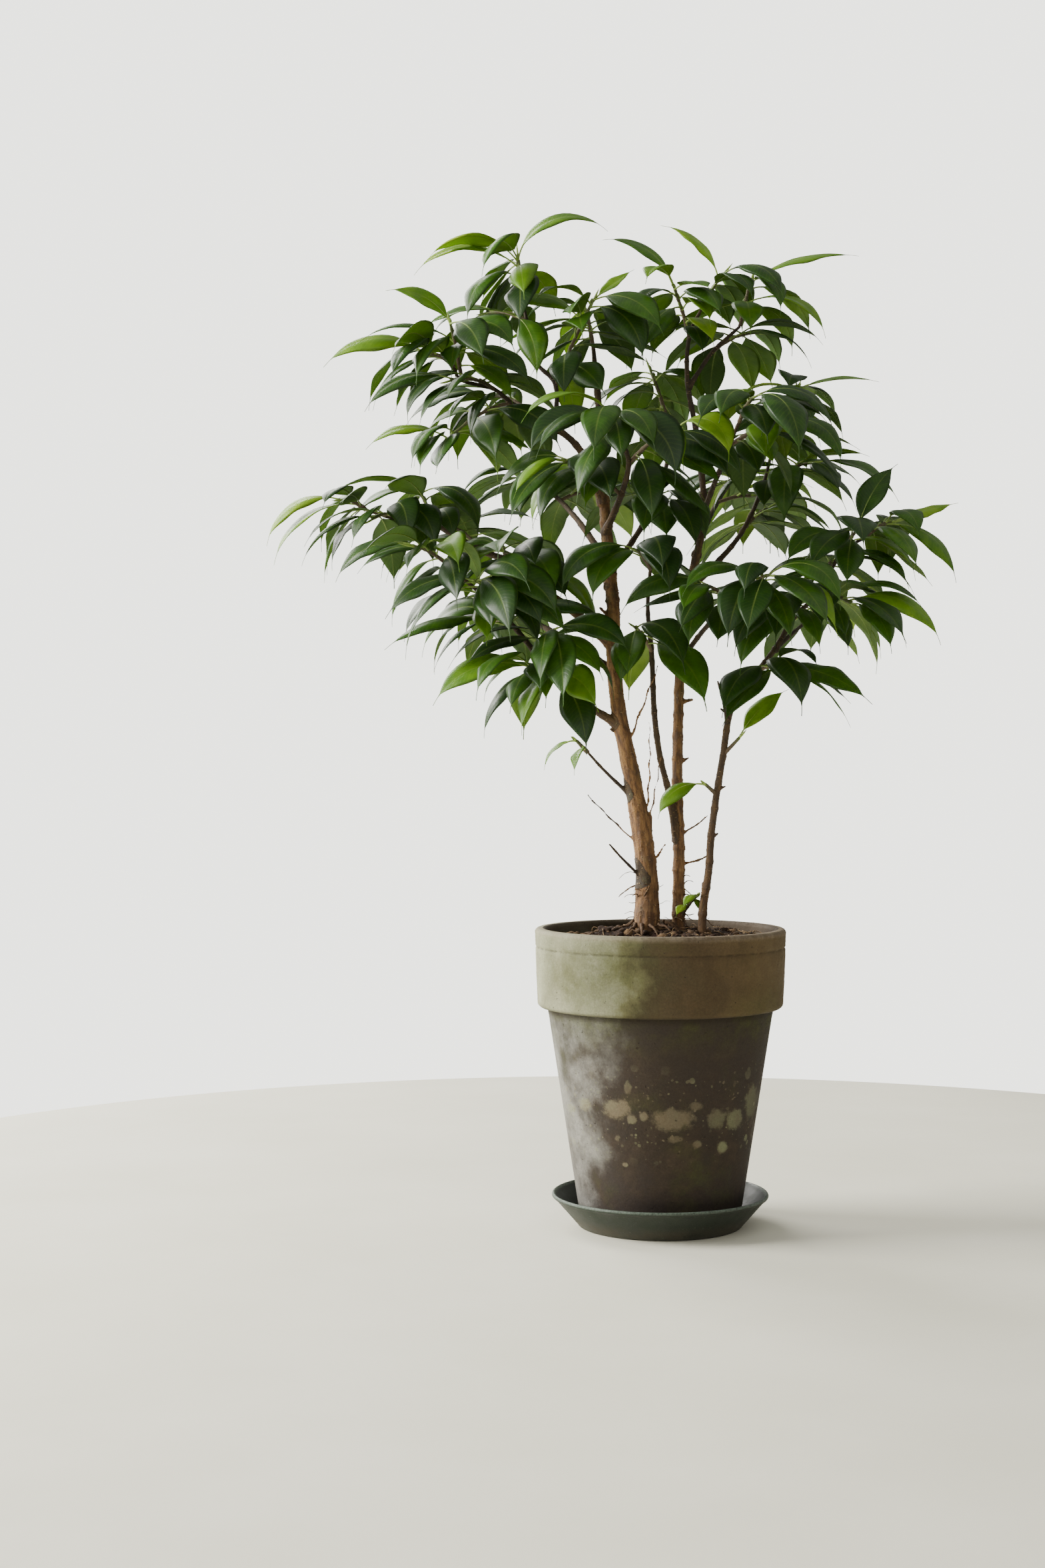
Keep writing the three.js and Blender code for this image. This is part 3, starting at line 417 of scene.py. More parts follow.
def plan_leaves():
    """The leaves that the CAD frame has, then smaller ones that fill the gaps between them."""
    taken, rooms, owners = stem_samples()
    leaf_points = np.empty((0, 3))
    leaves = []

    def place(leaf, gap=LEAF_GAP, box=None):
        nonlocal leaf_points
        points = leaf.samples()
        if box and ((points < box[0]).any() or (points > box[1]).any()):
            return False
        low, high = points.min(axis=0) - 3 * LEAF_GAP, points.max(axis=0) + 3 * LEAF_GAP
        near = (owners != leaf.shoot) & ((taken > low) & (taken < high)).all(axis=1)
        if near.any() and (nearest_squared(points, taken[near]) <= rooms[near] ** 2).any():
            return False
        near = ((leaf_points > low) & (leaf_points < high)).all(axis=1)
        if near.any() and (nearest_squared(points, leaf_points[near]) <= gap**2).any():
            return False
        leaf_points = np.vstack([leaf_points, points])
        leaves.append(leaf)
        return True

    for name, along, heading, start_pitch, end_pitch, size in OUTLINE_LEAVES:
        place(Leaf(name, along, heading, start_pitch, end_pitch, size, 0, OUTLINE_TILT))
    for index, (name, (root, tip, _, count, size)) in enumerate(SHOOTS.items()):
        draws = make_random(101 + index * 7919)
        twig_heading = math.degrees(math.atan2(tip[1] - root[1], tip[0] - root[0]))
        for i in range(count):
            along = FIRST_LEAF + (1 - FIRST_LEAF) * i / max(1, count - 1)
            spread = (-1 if i % 2 else 1) * LEAF_SPREAD * (0.25 if i == count - 1 else 1)
            heading = twig_heading + spread + 24 * (next(draws) - 0.5)
            start_pitch = LEAF_START_PITCH[0] + (LEAF_START_PITCH[1] - LEAF_START_PITCH[0]) * next(draws)
            end_pitch = LEAF_END_PITCH[0] + (LEAF_END_PITCH[1] - LEAF_END_PITCH[0]) * next(draws)
            leaf_size = size * (0.8 + 0.3 * next(draws))
            roll = LEAF_ROLL * 2 * (next(draws) - 0.5)
            for turn, lift in LEAF_TRIES:
                if place(Leaf(name, along, heading + turn, start_pitch, end_pitch + lift, leaf_size, roll)):
                    break
    planned = len(leaves)
    box = [np.array(corner) / MM + side * FILL_MARGIN for corner, side in zip(CAD_BOUNDS, (-1, 1))]
    chance = random.Random(404)
    for name, (root, tip, _, count, size) in SHOOTS.items():
        if count < 5:
            continue
        added = 0
        for _ in range(FILL_TRIES):
            leaf = Leaf(
                name, chance.uniform(0.05, 1.0), chance.uniform(0, 360), chance.uniform(-20, 50),
                chance.uniform(-98, -40), size * chance.uniform(0.7, 1.05), chance.uniform(-24, 24),
            )
            added += place(leaf, FILL_GAP, box)
            if added == FILL_MOST:
                break
    return leaves, planned


# ------------------------------------------------------------------ mesh helpers
class Sketch:
    """Collects vertices in millimetres, faces with a material number, and two numbers per vertex."""

    def __init__(self):
        self.points = []
        self.faces = []
        self.slots = []
        self.blade = []
        self.tone = []
        self.count = 0

    def add(self, points, faces, slot=0, blade=None, tone=0.0):
        points = np.asarray(points, dtype=float)
        self.points.append(points)
        self.faces += [tuple(i + self.count for i in face) for face in faces]
        self.slots += [slot] * len(faces)
        self.blade.append(np.zeros((len(points), 3)) if blade is None else np.asarray(blade))
        self.tone.append(np.full(len(points), tone, dtype=float))
        self.count += len(points)

    def add_tube(self, spots, radii, sides, slot=0, tone=0.0):
        """A closed round tube through spots, each with its own radius."""
        spots = np.asarray(spots, dtype=float)
        count = len(spots)
        along = np.gradient(spots, axis=0)
        side = np.cross(along[0], UP)
        if np.linalg.norm(side) < 1e-6 * np.linalg.norm(along[0]):
            side = np.array((1.0, 0.0, 0.0))
        rings = []
        blade = []
        run = 0.0
        for i in range(count):
            way = unit(along[i])
            side = unit(side - way * side.dot(way))
            other = np.cross(way, side)
            if i:
                run += np.linalg.norm(spots[i] - spots[i - 1])
            for k in range(sides):
                angle = 2 * math.pi * k / sides
                rings.append(spots[i] + radii[i] * (side * math.cos(angle) + other * math.sin(angle)))
                blade.append((k / sides, run, radii[i]))
        faces = []
        for i in range(count - 1):
            for k in range(sides):
                a, b = i * sides + k, i * sides + (k + 1) % sides
                faces.append((a, b, b + sides, a + sides))
        faces.append(tuple(reversed(range(sides))))
        faces.append(tuple(range((count - 1) * sides, count * sides)))
        self.add(rings, faces, slot, blade, tone)

    def build(self, name, materials, smooth=True):
        mesh = bpy.data.meshes.new(name)
        mesh.from_pydata(np.vstack(self.points) * MM, [], self.faces)
        for material in materials:
            mesh.materials.append(material)
        mesh.polygons.foreach_set("material_index", self.slots)
        mesh.polygons.foreach_set("use_smooth", [smooth] * len(self.faces))
        blade = mesh.attributes.new("blade", "FLOAT_VECTOR", "POINT")
        blade.data.foreach_set("vector", np.vstack(self.blade).ravel())
        tone = mesh.attributes.new("tone", "FLOAT", "POINT")
        tone.data.foreach_set("value", np.concatenate(self.tone))
        mesh.update()
        piece = bpy.data.objects.new(name, mesh)
        bpy.context.scene.collection.objects.link(piece)
        return piece


def place_piece(piece, slot, *nodes):
    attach(piece, "root")
    if nodes:
        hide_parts(*nodes)
    return piece


def quarter(x, z, radius, start, end, steps=6):
    angles = [math.radians(start + (end - start) * i / steps) for i in range(steps + 1)]
    return [(x + radius * math.cos(a), z + radius * math.sin(a)) for a in angles]


def stretch(start, end, steps):
    """Points from just after start up to end."""
    return [
        (start[0] + (end[0] - start[0]) * i / steps, start[1] + (end[1] - start[1]) * i / steps)
        for i in range(1, steps + 1)
    ]


def turned(sketch, outline, around, bump, slot=0, closed=True):
    """Spins an outline of (radius, height) points; bump(radius, z, angle) moves the surface out."""
    count = len(outline)
    points = []
    for k in range(around):
        angle = 2 * math.pi * k / around
        for radius, z in outline:
            reach = radius + (bump(radius, z, angle) if radius > 1e-6 else 0.0)
            points.append((reach * math.cos(angle), reach * math.sin(angle), z))
    faces = []
    for k in range(around):
        near, far = k * count, (k + 1) % around * count
        for i in range(count if closed else count - 1):
            j = (i + 1) % count
            faces.append((near + i, far + i, far + j, near + j))
    sketch.add(points, faces, slot)


def rough(x, y, z, size, seed=0.0):
    """Soft noise from -1 to 1, with bumps about size millimetres across."""
    return noise.noise(Vector((x / size + seed, y / size - seed, z / size + 2 * seed)))

# ------------------------------------------------------------------ materials
def shade_of(red, green, blue):
    """A linear colour from ordinary 0 to 255 screen values."""
    def linear(value):
        value /= 255
        return value / 12.92 if value <= 0.04045 else ((value + 0.055) / 1.055) ** 2.4
    return (linear(red), linear(green), linear(blue), 1.0)


class Shade:
    """A material with a Principled shader, and short ways to add nodes to it."""

    def __init__(self, name, roughness=0.6, specular=0.5):
        self.material = bpy.data.materials.new(name)
        self.material.use_nodes = True
        self.tree = self.material.node_tree
        self.shader = self.tree.nodes["Principled BSDF"]
        self.shader.inputs["Roughness"].default_value = roughness
        self.shader.inputs["Specular IOR Level"].default_value = specular
        self.place = self.tree.nodes.new("ShaderNodeTexCoord").outputs["Object"]

    def plug(self, socket, value):
        if isinstance(value, bpy.types.NodeSocket):
            self.tree.links.new(value, socket)
        else:
            socket.default_value = value

    def set(self, name, value):
        self.plug(self.shader.inputs[name], value)

    def maths(self, operation, a, b=0.0):
        node = self.tree.nodes.new("ShaderNodeMath")
        node.operation = operation
        self.plug(node.inputs[0], a)
        self.plug(node.inputs[1], b)
        return node.outputs[0]

    def times(self, a, b):
        return self.maths("MULTIPLY", a, b)

    def plus(self, a, b):
        return self.maths("ADD", a, b)

    def minus(self, a, b):
        return self.maths("SUBTRACT", a, b)

    def most(self, a, b):
        return self.maths("MAXIMUM", a, b)

    def vector(self, operation, a, b=(0, 0, 0)):
        node = self.tree.nodes.new("ShaderNodeVectorMath")
        node.operation = operation
        self.plug(node.inputs[0], a)
        self.plug(node.inputs[1], b)
        return node.outputs["Value"] if operation in ("LENGTH", "DISTANCE") else node.outputs[0]

    def flat_place(self):
        """The place with its height left out, whose length is the distance from the pot's axis."""
        return self.vector("MULTIPLY", self.place, (1, 1, 0))

    def grey(self, value):
        node = self.tree.nodes.new("ShaderNodeCombineColor")
        for socket in node.inputs:
            self.plug(socket, value)
        return node.outputs[0]

    def split(self, vector):
        node = self.tree.nodes.new("ShaderNodeSeparateXYZ")
        self.plug(node.inputs[0], vector)
        return node.outputs

    def attribute(self, name):
        node = self.tree.nodes.new("ShaderNodeAttribute")
        node.attribute_name = name
        return node

    def noise(self, size, vector=None, detail=4.0, roughness=0.55, distortion=0.0):
        """Soft noise around a half, with bumps about size millimetres across."""
        node = self.tree.nodes.new("ShaderNodeTexNoise")
        self.plug(node.inputs["Vector"], self.place if vector is None else vector)
        node.inputs["Scale"].default_value = 1 / (size * MM)
        node.inputs["Detail"].default_value = detail
        node.inputs["Roughness"].default_value = roughness
        node.inputs["Distortion"].default_value = distortion
        return node.outputs["Fac"]

    def cells(self, size, vector=None):
        """Voronoi cells about size millimetres across."""
        node = self.tree.nodes.new("ShaderNodeTexVoronoi")
        self.plug(node.inputs["Vector"], self.place if vector is None else vector)
        node.inputs["Scale"].default_value = 1 / (size * MM)
        return node

    def spread(self, value, low, high, start=0.0, end=1.0, smooth=True):
        """Maps low..high to start..end, and stops there."""
        node = self.tree.nodes.new("ShaderNodeMapRange")
        node.interpolation_type = "SMOOTHSTEP" if smooth else "LINEAR"
        for index, amount in enumerate((value, low, high, start, end)):
            self.plug(node.inputs[index], amount)
        return node.outputs[0]

    def ramp(self, value, stops):
        """Colours by value; a stop is its place, red, green and blue."""
        node = self.tree.nodes.new("ShaderNodeValToRGB")
        self.plug(node.inputs[0], value)
        elements = node.color_ramp.elements
        while len(elements) < len(stops):
            elements.new(0.5)
        for element, (position, *colour) in zip(elements, stops):
            element.position = position
            element.color = shade_of(*colour)
        return node.outputs[0]

    def mix(self, share, a, b, kind="MIX"):
        node = self.tree.nodes.new("ShaderNodeMix")
        node.data_type = "RGBA"
        node.blend_type = kind
        self.plug(node.inputs["Factor"], share)
        self.plug(node.inputs[6], a)
        self.plug(node.inputs[7], b)
        return node.outputs[2]

    def bump(self, height, distance):
        """Relief from a height of 0 to 1, distance millimetres high."""
        node = self.tree.nodes.new("ShaderNodeBump")
        node.inputs["Strength"].default_value = 1.0
        node.inputs["Distance"].default_value = distance * MM
        self.plug(node.inputs["Height"], height)
        return node.outputs[0]

    def let_light_through(self, share, colour):
        """Mixes in light that comes through from behind, as through a leaf."""
        nodes = self.tree.nodes
        through = nodes.new("ShaderNodeBsdfTranslucent")
        mixer = nodes.new("ShaderNodeMixShader")
        self.plug(through.inputs["Color"], colour)
        mixer.inputs[0].default_value = share
        self.tree.links.new(self.shader.outputs[0], mixer.inputs[1])
        self.tree.links.new(through.outputs[0], mixer.inputs[2])
        self.tree.links.new(mixer.outputs[0], nodes["Material Output"].inputs["Surface"])


def leaf_material(name, top):
    """A ficus blade: midrib, close side veins, a pale margin painted as the highlight on its edge, and green
    by its age (tone).
    """
    shade = Shade(name, specular=0.5)
    across, along, _ = shade.split(shade.attribute("blade").outputs["Vector"])
    tone = shade.attribute("tone").outputs["Fac"]
    off = shade.maths("ABSOLUTE", across)
    mottle = shade.noise(9, detail=5)
    shift = shade.spread(mottle, 0.3, 0.7, -0.07, 0.07)
    aged = shade.plus(tone, shift)
    if top:
        greens = shade.ramp(aged, [
            (0.0, 24, 50, 24), (0.25, 38, 72, 24), (0.5, 72, 118, 24),
            (0.75, 118, 162, 26), (1.0, 166, 198, 38),
        ])
    else:
        greens = shade.ramp(aged, [
            (0.0, 66, 96, 50), (0.3, 88, 122, 50), (0.6, 122, 154, 50),
            (1.0, 168, 196, 62),
        ])
    rib = shade.spread(off, 0.025, 0.075, 1.0, 0.0)
    # side veins leave the midrib forward, close together, and fade at the margin
    run = shade.minus(shade.times(along, 21.0), shade.times(off, 2.6))
    wander = shade.times(shade.noise(6, detail=2), 0.9)
    wave = shade.maths("SINE", shade.times(shade.plus(run, wander), 2 * math.pi))
    vein = shade.spread(wave, 0.55, 1.0)
    vein = shade.times(vein, shade.spread(off, 0.65, 0.97, 1.0, 0.0))
    pale = shade.mix(0.38, greens, shade_of(168, 188, 92))
    green = shade.mix(shade.times(vein, 0.16 if top else 0.22), greens, pale)
    green = shade.mix(shade.times(rib, 0.6), green, pale)
    # painted highlight: the pale margin stands in for the light caught by the leaf's edge
    margin = shade.spread(off, 0.93, 1.0)
    green = shade.mix(shade.times(margin, 0.35), green, pale)
    fleck = shade.spread(shade.noise(0.8, detail=2), 0.62, 0.75)
    green = shade.mix(shade.times(fleck, 0.04), green, shade_of(196, 206, 150))
    shade.set("Base Color", green)
    dust = shade.noise(14, detail=3)
    if top:
        shade.set("Roughness", shade.spread(dust, 0.3, 0.7, 0.30, 0.46))
    else:
        shade.set("Roughness", shade.spread(dust, 0.3, 0.7, 0.52, 0.66))
    relief = shade.plus(shade.times(vein, -0.35 if top else 0.45),
                        shade.times(rib, -0.5 if top else 0.3))
    relief = shade.plus(relief, shade.times(shade.noise(3.4, detail=2), 0.35))
    shade.set("Normal", shade.bump(relief, 0.10))
    glow = shade.mix(0.45, green, shade_of(176, 206, 30))
    shade.let_light_through(0.38, glow)
    return shade.material


def stalk_material(name, pale, dark, roughness):
    """Soft green growth: petioles, buds and the ribs under the leaves."""
    shade = Shade(name)
    tone = shade.attribute("tone").outputs["Fac"]
    streak = shade.noise(1.6, detail=4)
    share = shade.plus(tone, shade.spread(streak, 0.3, 0.7, -0.2, 0.2))
    shade.set("Base Color", shade.ramp(share, [(0.0, *dark), (1.0, *pale)]))
    shade.set("Roughness", shade.spread(streak, 0.3, 0.7, roughness - 0.06, roughness + 0.08))
    shade.set("Normal", shade.bump(streak, 0.12))
    return shade.material


def twig_material():
    """Young bark: green at the tip (tone 1), grey-brown with pale pores lower down."""
    shade = Shade("twig_bark")
    tone = shade.attribute("tone").outputs["Fac"]
    streak = shade.noise(1.8, detail=5)
    share = shade.plus(tone, shade.spread(streak, 0.3, 0.7, -0.16, 0.16))
    colour = shade.ramp(share, [
        (0.0, 104, 86, 66), (0.45, 92, 84, 58), (0.8, 92, 104, 54),
        (1.0, 116, 136, 62),
    ])
    pores = shade.cells(1.7)
    pore = shade.spread(pores.outputs["Distance"], 0.12, 0.26, 1.0, 0.0)
    colour = shade.mix(shade.times(pore, 0.5), colour, shade_of(176, 158, 128))
    shade.set("Base Color", colour)
    shade.set("Roughness", shade.spread(streak, 0.3, 0.7, 0.62, 0.8))
    relief = shade.plus(shade.times(pore, 0.5), streak)
    shade.set("Normal", shade.bump(relief, 0.25))
    return shade.material


def bark_material():
    """Fig bark: tan and brown streaks along the stem, and pale raised pores."""
    shade = Shade("fig_bark")
    grain = shade.attribute("grain").outputs["Vector"]
    age = shade.attribute("tone").outputs["Fac"]
    node = shade.tree.nodes.new("ShaderNodeMapping")
    shade.plug(node.inputs["Vector"], grain)
    node.inputs["Scale"].default_value = (1.0, 1.0, 0.22)
    long_grain = node.outputs[0]
    streak = shade.noise(2.6, vector=long_grain, detail=6, roughness=0.62)
    broad = shade.noise(17, vector=grain, detail=4)
    blotch = shade.noise(6, vector=grain, detail=5, roughness=0.6)
    colour = shade.ramp(streak, [
        (0.28, 66, 45, 26), (0.45, 110, 77, 45), (0.6, 148, 110, 68),
        (0.78, 178, 142, 98),
    ])
    young = shade.ramp(streak, [
        (0.3, 42, 33, 22), (0.55, 68, 54, 36), (0.75, 98, 81, 56),
    ])
    colour = shade.mix(shade.spread(age, 0.0, 1.0, 1.0, 0.0), colour, young)
    dirt = shade.spread(blotch, 0.5, 0.68)
    colour = shade.mix(shade.times(dirt, 0.45), colour, shade_of(80, 62, 44))
    moss = shade.spread(broad, 0.56, 0.7)
    colour = shade.mix(shade.times(moss, 0.25), colour, shade_of(104, 104, 62))
    flat = shade.tree.nodes.new("ShaderNodeMapping")
    shade.plug(flat.inputs["Vector"], grain)
    flat.inputs["Scale"].default_value = (0.7, 0.7, 1.5)
    pores = shade.cells(3.1, vector=flat.outputs[0])
    pore = shade.spread(pores.outputs["Distance"], 0.10, 0.24, 1.0, 0.0)
    colour = shade.mix(shade.times(pore, 0.45), colour, shade_of(168, 140, 100))
    height = shade.split(shade.place)[2]
    ground = (RIM_Z - SOIL_BELOW_RIM + SOIL_MOUND) * MM
    damp = shade.spread(height, ground, ground + 0.03, 1.0, 0.0)
    damp = shade.times(damp, shade.spread(blotch, 0.35, 0.6, 0.3, 1.0))
    colour = shade.mix(shade.times(damp, 0.5), colour, shade_of(74, 54, 38))
    shade.set("Base Color", colour)
    shade.set("Roughness", shade.spread(streak, 0.3, 0.7, 0.66, 0.86))
    fine = shade.noise(0.9, vector=long_grain, detail=5, roughness=0.65)
    relief = shade.plus(shade.times(streak, 1.4), shade.times(pore, 0.5))
    relief = shade.plus(relief, shade.times(fine, 0.5))
    shade.set("Normal", shade.bump(relief, 0.7))
    return shade.material


# Blotches on the pot: place across, height, half width, half height in millimetres, and strength.
LICHEN_BLOTCHES = (
    (-31.6, 87.2, 9.0, 6.5, 0.85), (-51.9, 87.5, 4.0, 4.6, 0.85), (-60.8, 82.5, 3.0, 3.4, 0.95),
    (4.3, 81.3, 14.0, 7.5, 0.72), (33.6, 80.5, 6.5, 6.5, 0.5), (46.3, 78.5, 6.2, 7.0, 0.62),
    (59.0, 88.0, 5.5, 12.0, 0.55), (37.8, 60.6, 3.8, 3.8, 0.8), (20.6, 64.1, 3.2, 2.9, 0.6),
    (-26.0, 50.0, 2.0, 1.6, 0.8), (-22.0, 81.0, 3.2, 3.2, 0.8), (-14.5, 82.7, 3.0, 3.2, 0.8),
    (19.4, 89.7, 4.2, 3.4, 0.5), (-24.8, 101.6, 2.4, 4.4, 0.5), (6.0, 68.0, 5.0, 2.2, 0.5),
)


def blotches(shade, spots, wobble, inside=0.62, outside=1.18):
    """The union of soft-edged round patches on the front of the pot, with uneven outlines."""
    x, y, z = shade.split(shade.place)
    front = shade.spread(y, -0.045, 0.0, 1.0, 0.0)
    total = None
    for across, height, half_width, half_height, strength in spots:
        dx = shade.times(shade.minus(x, across * MM), 1 / (half_width * MM))
        dz = shade.times(shade.minus(z, height * MM), 1 / (half_height * MM))
        square = shade.plus(shade.times(dx, dx), shade.times(dz, dz))
        far = shade.plus(shade.maths("SQRT", square), wobble)
        spot = shade.spread(far, inside, outside, strength, 0.0)
        total = spot if total is None else shade.most(total, spot)
    return shade.times(total, front)


def pot_material():
    """Old terracotta gone grey: brown clay, pale salt veils, green algae, round lichens and grimy pits;
    painted light on the lit left side and painted shade right of the middle, in the tool line and under the
    collar.
    """
    shade = Shade("old_terracotta", specular=0.3)
    x, y, z = shade.split(shade.place)
    cloud = shade.noise(46, detail=5, roughness=0.6)
    patch = shade.noise(19, detail=6, roughness=0.62)
    grit = shade.noise(1.3, detail=4, roughness=0.7)
    fine = shade.noise(4.5, detail=6, roughness=0.7)
    clay = shade.ramp(patch, [
        (0.25, 40, 33, 26), (0.5, 53, 44, 36), (0.75, 72, 61, 50),
    ])
    # salts have crept out low down, and over the light side, where the pale veil is partly salts and partly
    # painted light
    lit_side_edge = shade.plus(x, shade.spread(cloud, 0.2, 0.8, -0.03, 0.03))
    salt_and_light_share = shade.spread(lit_side_edge, -0.078, -0.03, 1.0, 0.0)
    back_veil = shade.spread(shade.plus(y, shade.spread(patch, 0.2, 0.8, -0.06, 0.06)), 0.0, 0.09)
    salt_and_light_share = shade.most(salt_and_light_share, shade.times(back_veil, 0.7))
    salt_and_light_veil = shade.ramp(fine, [(0.3, 128, 127, 120), (0.7, 158, 156, 148)])
    colour = shade.mix(shade.times(salt_and_light_share, 0.8), clay, salt_and_light_veil)
    low = shade.spread(shade.plus(z, shade.spread(patch, 0.2, 0.8, -0.02, 0.02)), 0.012, 0.062, 1.0, 0.0)
    colour = shade.mix(shade.times(low, 0.3), colour, shade_of(64, 56, 54))
    # the collar is paler and greener than the body; across it, the very pale left and the dark middle are
    # partly painted light and painted shade, with light from the left
    collar_low = (RIM_Z - POT_COLLAR_HEIGHT) * MM
    collar = shade.maths("GREATER_THAN", z, collar_low - 0.0005)
    collar_lit_to_shaded = shade.spread(shade.plus(x, shade.spread(cloud, 0.2, 0.8, -0.03, 0.03)), -0.07, 0.075)
    collar_colour_and_light = shade.ramp(collar_lit_to_shaded, [
        (0.0, 168, 168, 140), (0.14, 112, 110, 76), (0.3, 70, 62, 42),
        (0.7, 82, 67, 46), (1.0, 98, 82, 54),
    ])
    collar_colour_and_light = shade.mix(shade.spread(patch, 0.35, 0.7, 0.0, 0.35), collar_colour_and_light, shade_of(70, 58, 42))
    colour = shade.mix(collar, colour, collar_colour_and_light)
    # algae: a broad green patch on the collar, a damp line under it, and a faint tint here and there
    algae_mid = blotches(shade, [(-46, 176, 30, 34, 0.9), (-80, 176, 14, 40, 0.8), (66, 152, 24, 14, 0.5)],
                         shade.spread(patch, 0.2, 0.8, -0.3, 0.3), 0.1, 1.7)
    under = shade.spread(z, collar_low - 0.034, collar_low - 0.002)
    under = shade.times(under, shade.minus(1.0, collar))
    under = shade.times(under, shade.spread(patch, 0.35, 0.62))
    tint = shade.times(shade.spread(cloud, 0.52, 0.7), 0.5)
    algae = shade.most(algae_mid, shade.most(shade.times(under, 0.8), tint))
    algae = shade.times(algae, shade.spread(fine, 0.2, 0.6, 0.55, 1.0))
    green = shade.ramp(fine, [(0.3, 50, 56, 22), (0.7, 76, 82, 38)])
    colour = shade.mix(shade.times(algae, 0.72), colour, green)
    # the dark middle of the body, right of centre, partly painted shade of the side turned from the light
    dark_middle_and_shade = blotches(shade, [(12, 118, 46, 34, 0.9), (40, 110, 30, 40, 0.8)],
                     shade.spread(patch, 0.2, 0.8, -0.4, 0.4), 0.3, 1.6)
    dark_middle_and_shade = shade.times(dark_middle_and_shade, shade.minus(1.0, collar))
    colour = shade.mix(shade.times(dark_middle_and_shade, 0.55), colour, shade_of(56, 48, 42))
    # lichens: the named ones, then a scatter of small ones in a band round the body
    wobble = shade.spread(fine, 0.25, 0.75, -0.28, 0.28)
    named = blotches(shade, LICHEN_BLOTCHES, wobble)
    band = shade.times(shade.spread(z, 0.046, 0.068), shade.spread(z, 0.094, 0.122, 1.0, 0.0))
    total = named
    drift = shade.tree.nodes.new("ShaderNodeTexNoise")
    drift.inputs["Scale"].default_value = 220
    shade.plug(drift.inputs["Vector"], shade.place)
    pushed = shade.vector("MULTIPLY", drift.outputs["Color"], (0.0022, 0.0022, 0.0022))
    pushed = shade.vector("ADD", shade.place, pushed)
    for size, least in ((9.5, 0.7), (5.2, 0.66), (2.6, 0.6)):
        cell = shade.cells(size, vector=pushed)
        luck = shade.split(cell.outputs["Color"])
        reach = shade.spread(luck[0], least, 1.0, 0.0, 0.44, smooth=False)
        edge = shade.minus(reach, cell.outputs["Distance"])
        edge = shade.plus(edge, shade.times(wobble, 0.12))
        inside_edge = shade.spread(edge, 0.0, 0.09)
        spot = shade.times(inside_edge, shade.spread(luck[1], 0.0, 1.0, 0.08, 0.75, smooth=False))
        total = shade.most(total, shade.times(spot, band))
    crust = shade.mix(shade.spread(cloud, 0.4, 0.6), shade_of(138, 141, 106), shade_of(130, 117, 94))
    colour = shade.mix(shade.times(total, 0.68), colour, crust)
    # rims rubbed pale; painted shade in the tool line's groove and in the corner under the collar, and dark
    # pits that are partly grime and partly painted shade
    lip = shade.spread(z, (RIM_Z - 5) * MM, (RIM_Z - 0.5) * MM)
    colour = shade.mix(shade.times(lip, shade.spread(fine, 0.3, 0.7, 0.2, 0.6)), colour,
                       shade_of(150, 136, 118))
    groove = shade.maths("ABSOLUTE", shade.minus(z, (RIM_Z - 12.5) * MM))
    groove = shade.spread(groove, 0.0003, 0.0011, 1.0, 0.0)
    groove = shade.times(groove, shade.spread(fine, 0.35, 0.6))
    shadow = shade.maths("ABSOLUTE", shade.minus(z, collar_low - 0.0015))
    shadow = shade.spread(shadow, 0.0005, 0.0042, 1.0, 0.0)
    painted_shade_and_grime = shade.most(shade.times(groove, 0.4), shade.times(shadow, 0.6))
    pits = shade.spread(shade.noise(2.4, detail=3), 0.68, 0.74)
    painted_shade_and_grime = shade.most(painted_shade_and_grime, shade.times(pits, 0.75))
    colour = shade.mix(painted_shade_and_grime, colour, shade_of(46, 38, 28))
    speck = shade.spread(grit, 0.35, 0.7, 0.9, 1.1)
    colour = shade.mix(1.0, colour, shade.grey(speck), "MULTIPLY")
    inner = shade.maths("LESS_THAN", shade.vector("LENGTH", shade.flat_place()), (RIM_RADIUS - 5.5) * MM)
    inner = shade.times(inner, collar)
    colour = shade.mix(shade.times(inner, 0.85), colour, shade_of(52, 42, 32))
    shade.set("Base Color", colour)
    shade.set("Roughness", shade.spread(patch, 0.3, 0.7, 0.78, 0.95))
    relief = shade.plus(shade.times(grit, 0.5), fine)
    relief = shade.plus(relief, shade.times(total, 0.5))
    relief = shade.minus(relief, shade.times(pits, 0.9))
    shade.set("Normal", shade.bump(relief, 0.45))
    return shade.material


def saucer_material():
    """Dark green moulded plastic, scuffed on the lip and dusty in the bottom."""
    shade = Shade("green_plastic", specular=0.4)
    z = shade.split(shade.place)[2]
    patch = shade.noise(15, detail=5)
    fine = shade.noise(1.1, detail=4, roughness=0.65)
    colour = shade.ramp(patch, [(0.3, 24, 31, 23), (0.7, 33, 42, 31)])
    away = shade.vector("LENGTH", shade.flat_place())
    rim = shade.spread(z, (SAUCER_HIGH.z - 2.2) * MM, (SAUCER_HIGH.z - 0.5) * MM)
    worn = shade.times(rim, shade.spread(fine, 0.35, 0.6, 0.25, 0.8))
    colour = shade.mix(worn, colour, shade_of(98, 110, 98))
    inside = shade.times(shade.spread(z, 0.002, 0.012, 1.0, 0.0),
                         shade.maths("LESS_THAN", away, 0.066))
    silt = shade.times(inside, shade.spread(patch, 0.3, 0.6, 0.3, 0.9))
    colour = shade.mix(silt, colour, shade_of(62, 57, 46))
    fleck = shade.spread(shade.noise(2.0, detail=2), 0.66, 0.74)
    colour = shade.mix(shade.times(fleck, 0.35), colour, shade_of(88, 96, 84))
    low = shade.spread(z, 0.0, 0.005, 0.35, 0.0)
    colour = shade.mix(low, colour, shade_of(58, 64, 54))
    shade.set("Base Color", colour)
    shade.set("Roughness", shade.spread(patch, 0.3, 0.7, 0.46, 0.64))
    shade.set("Normal", shade.bump(fine, 0.14))
    return shade.material


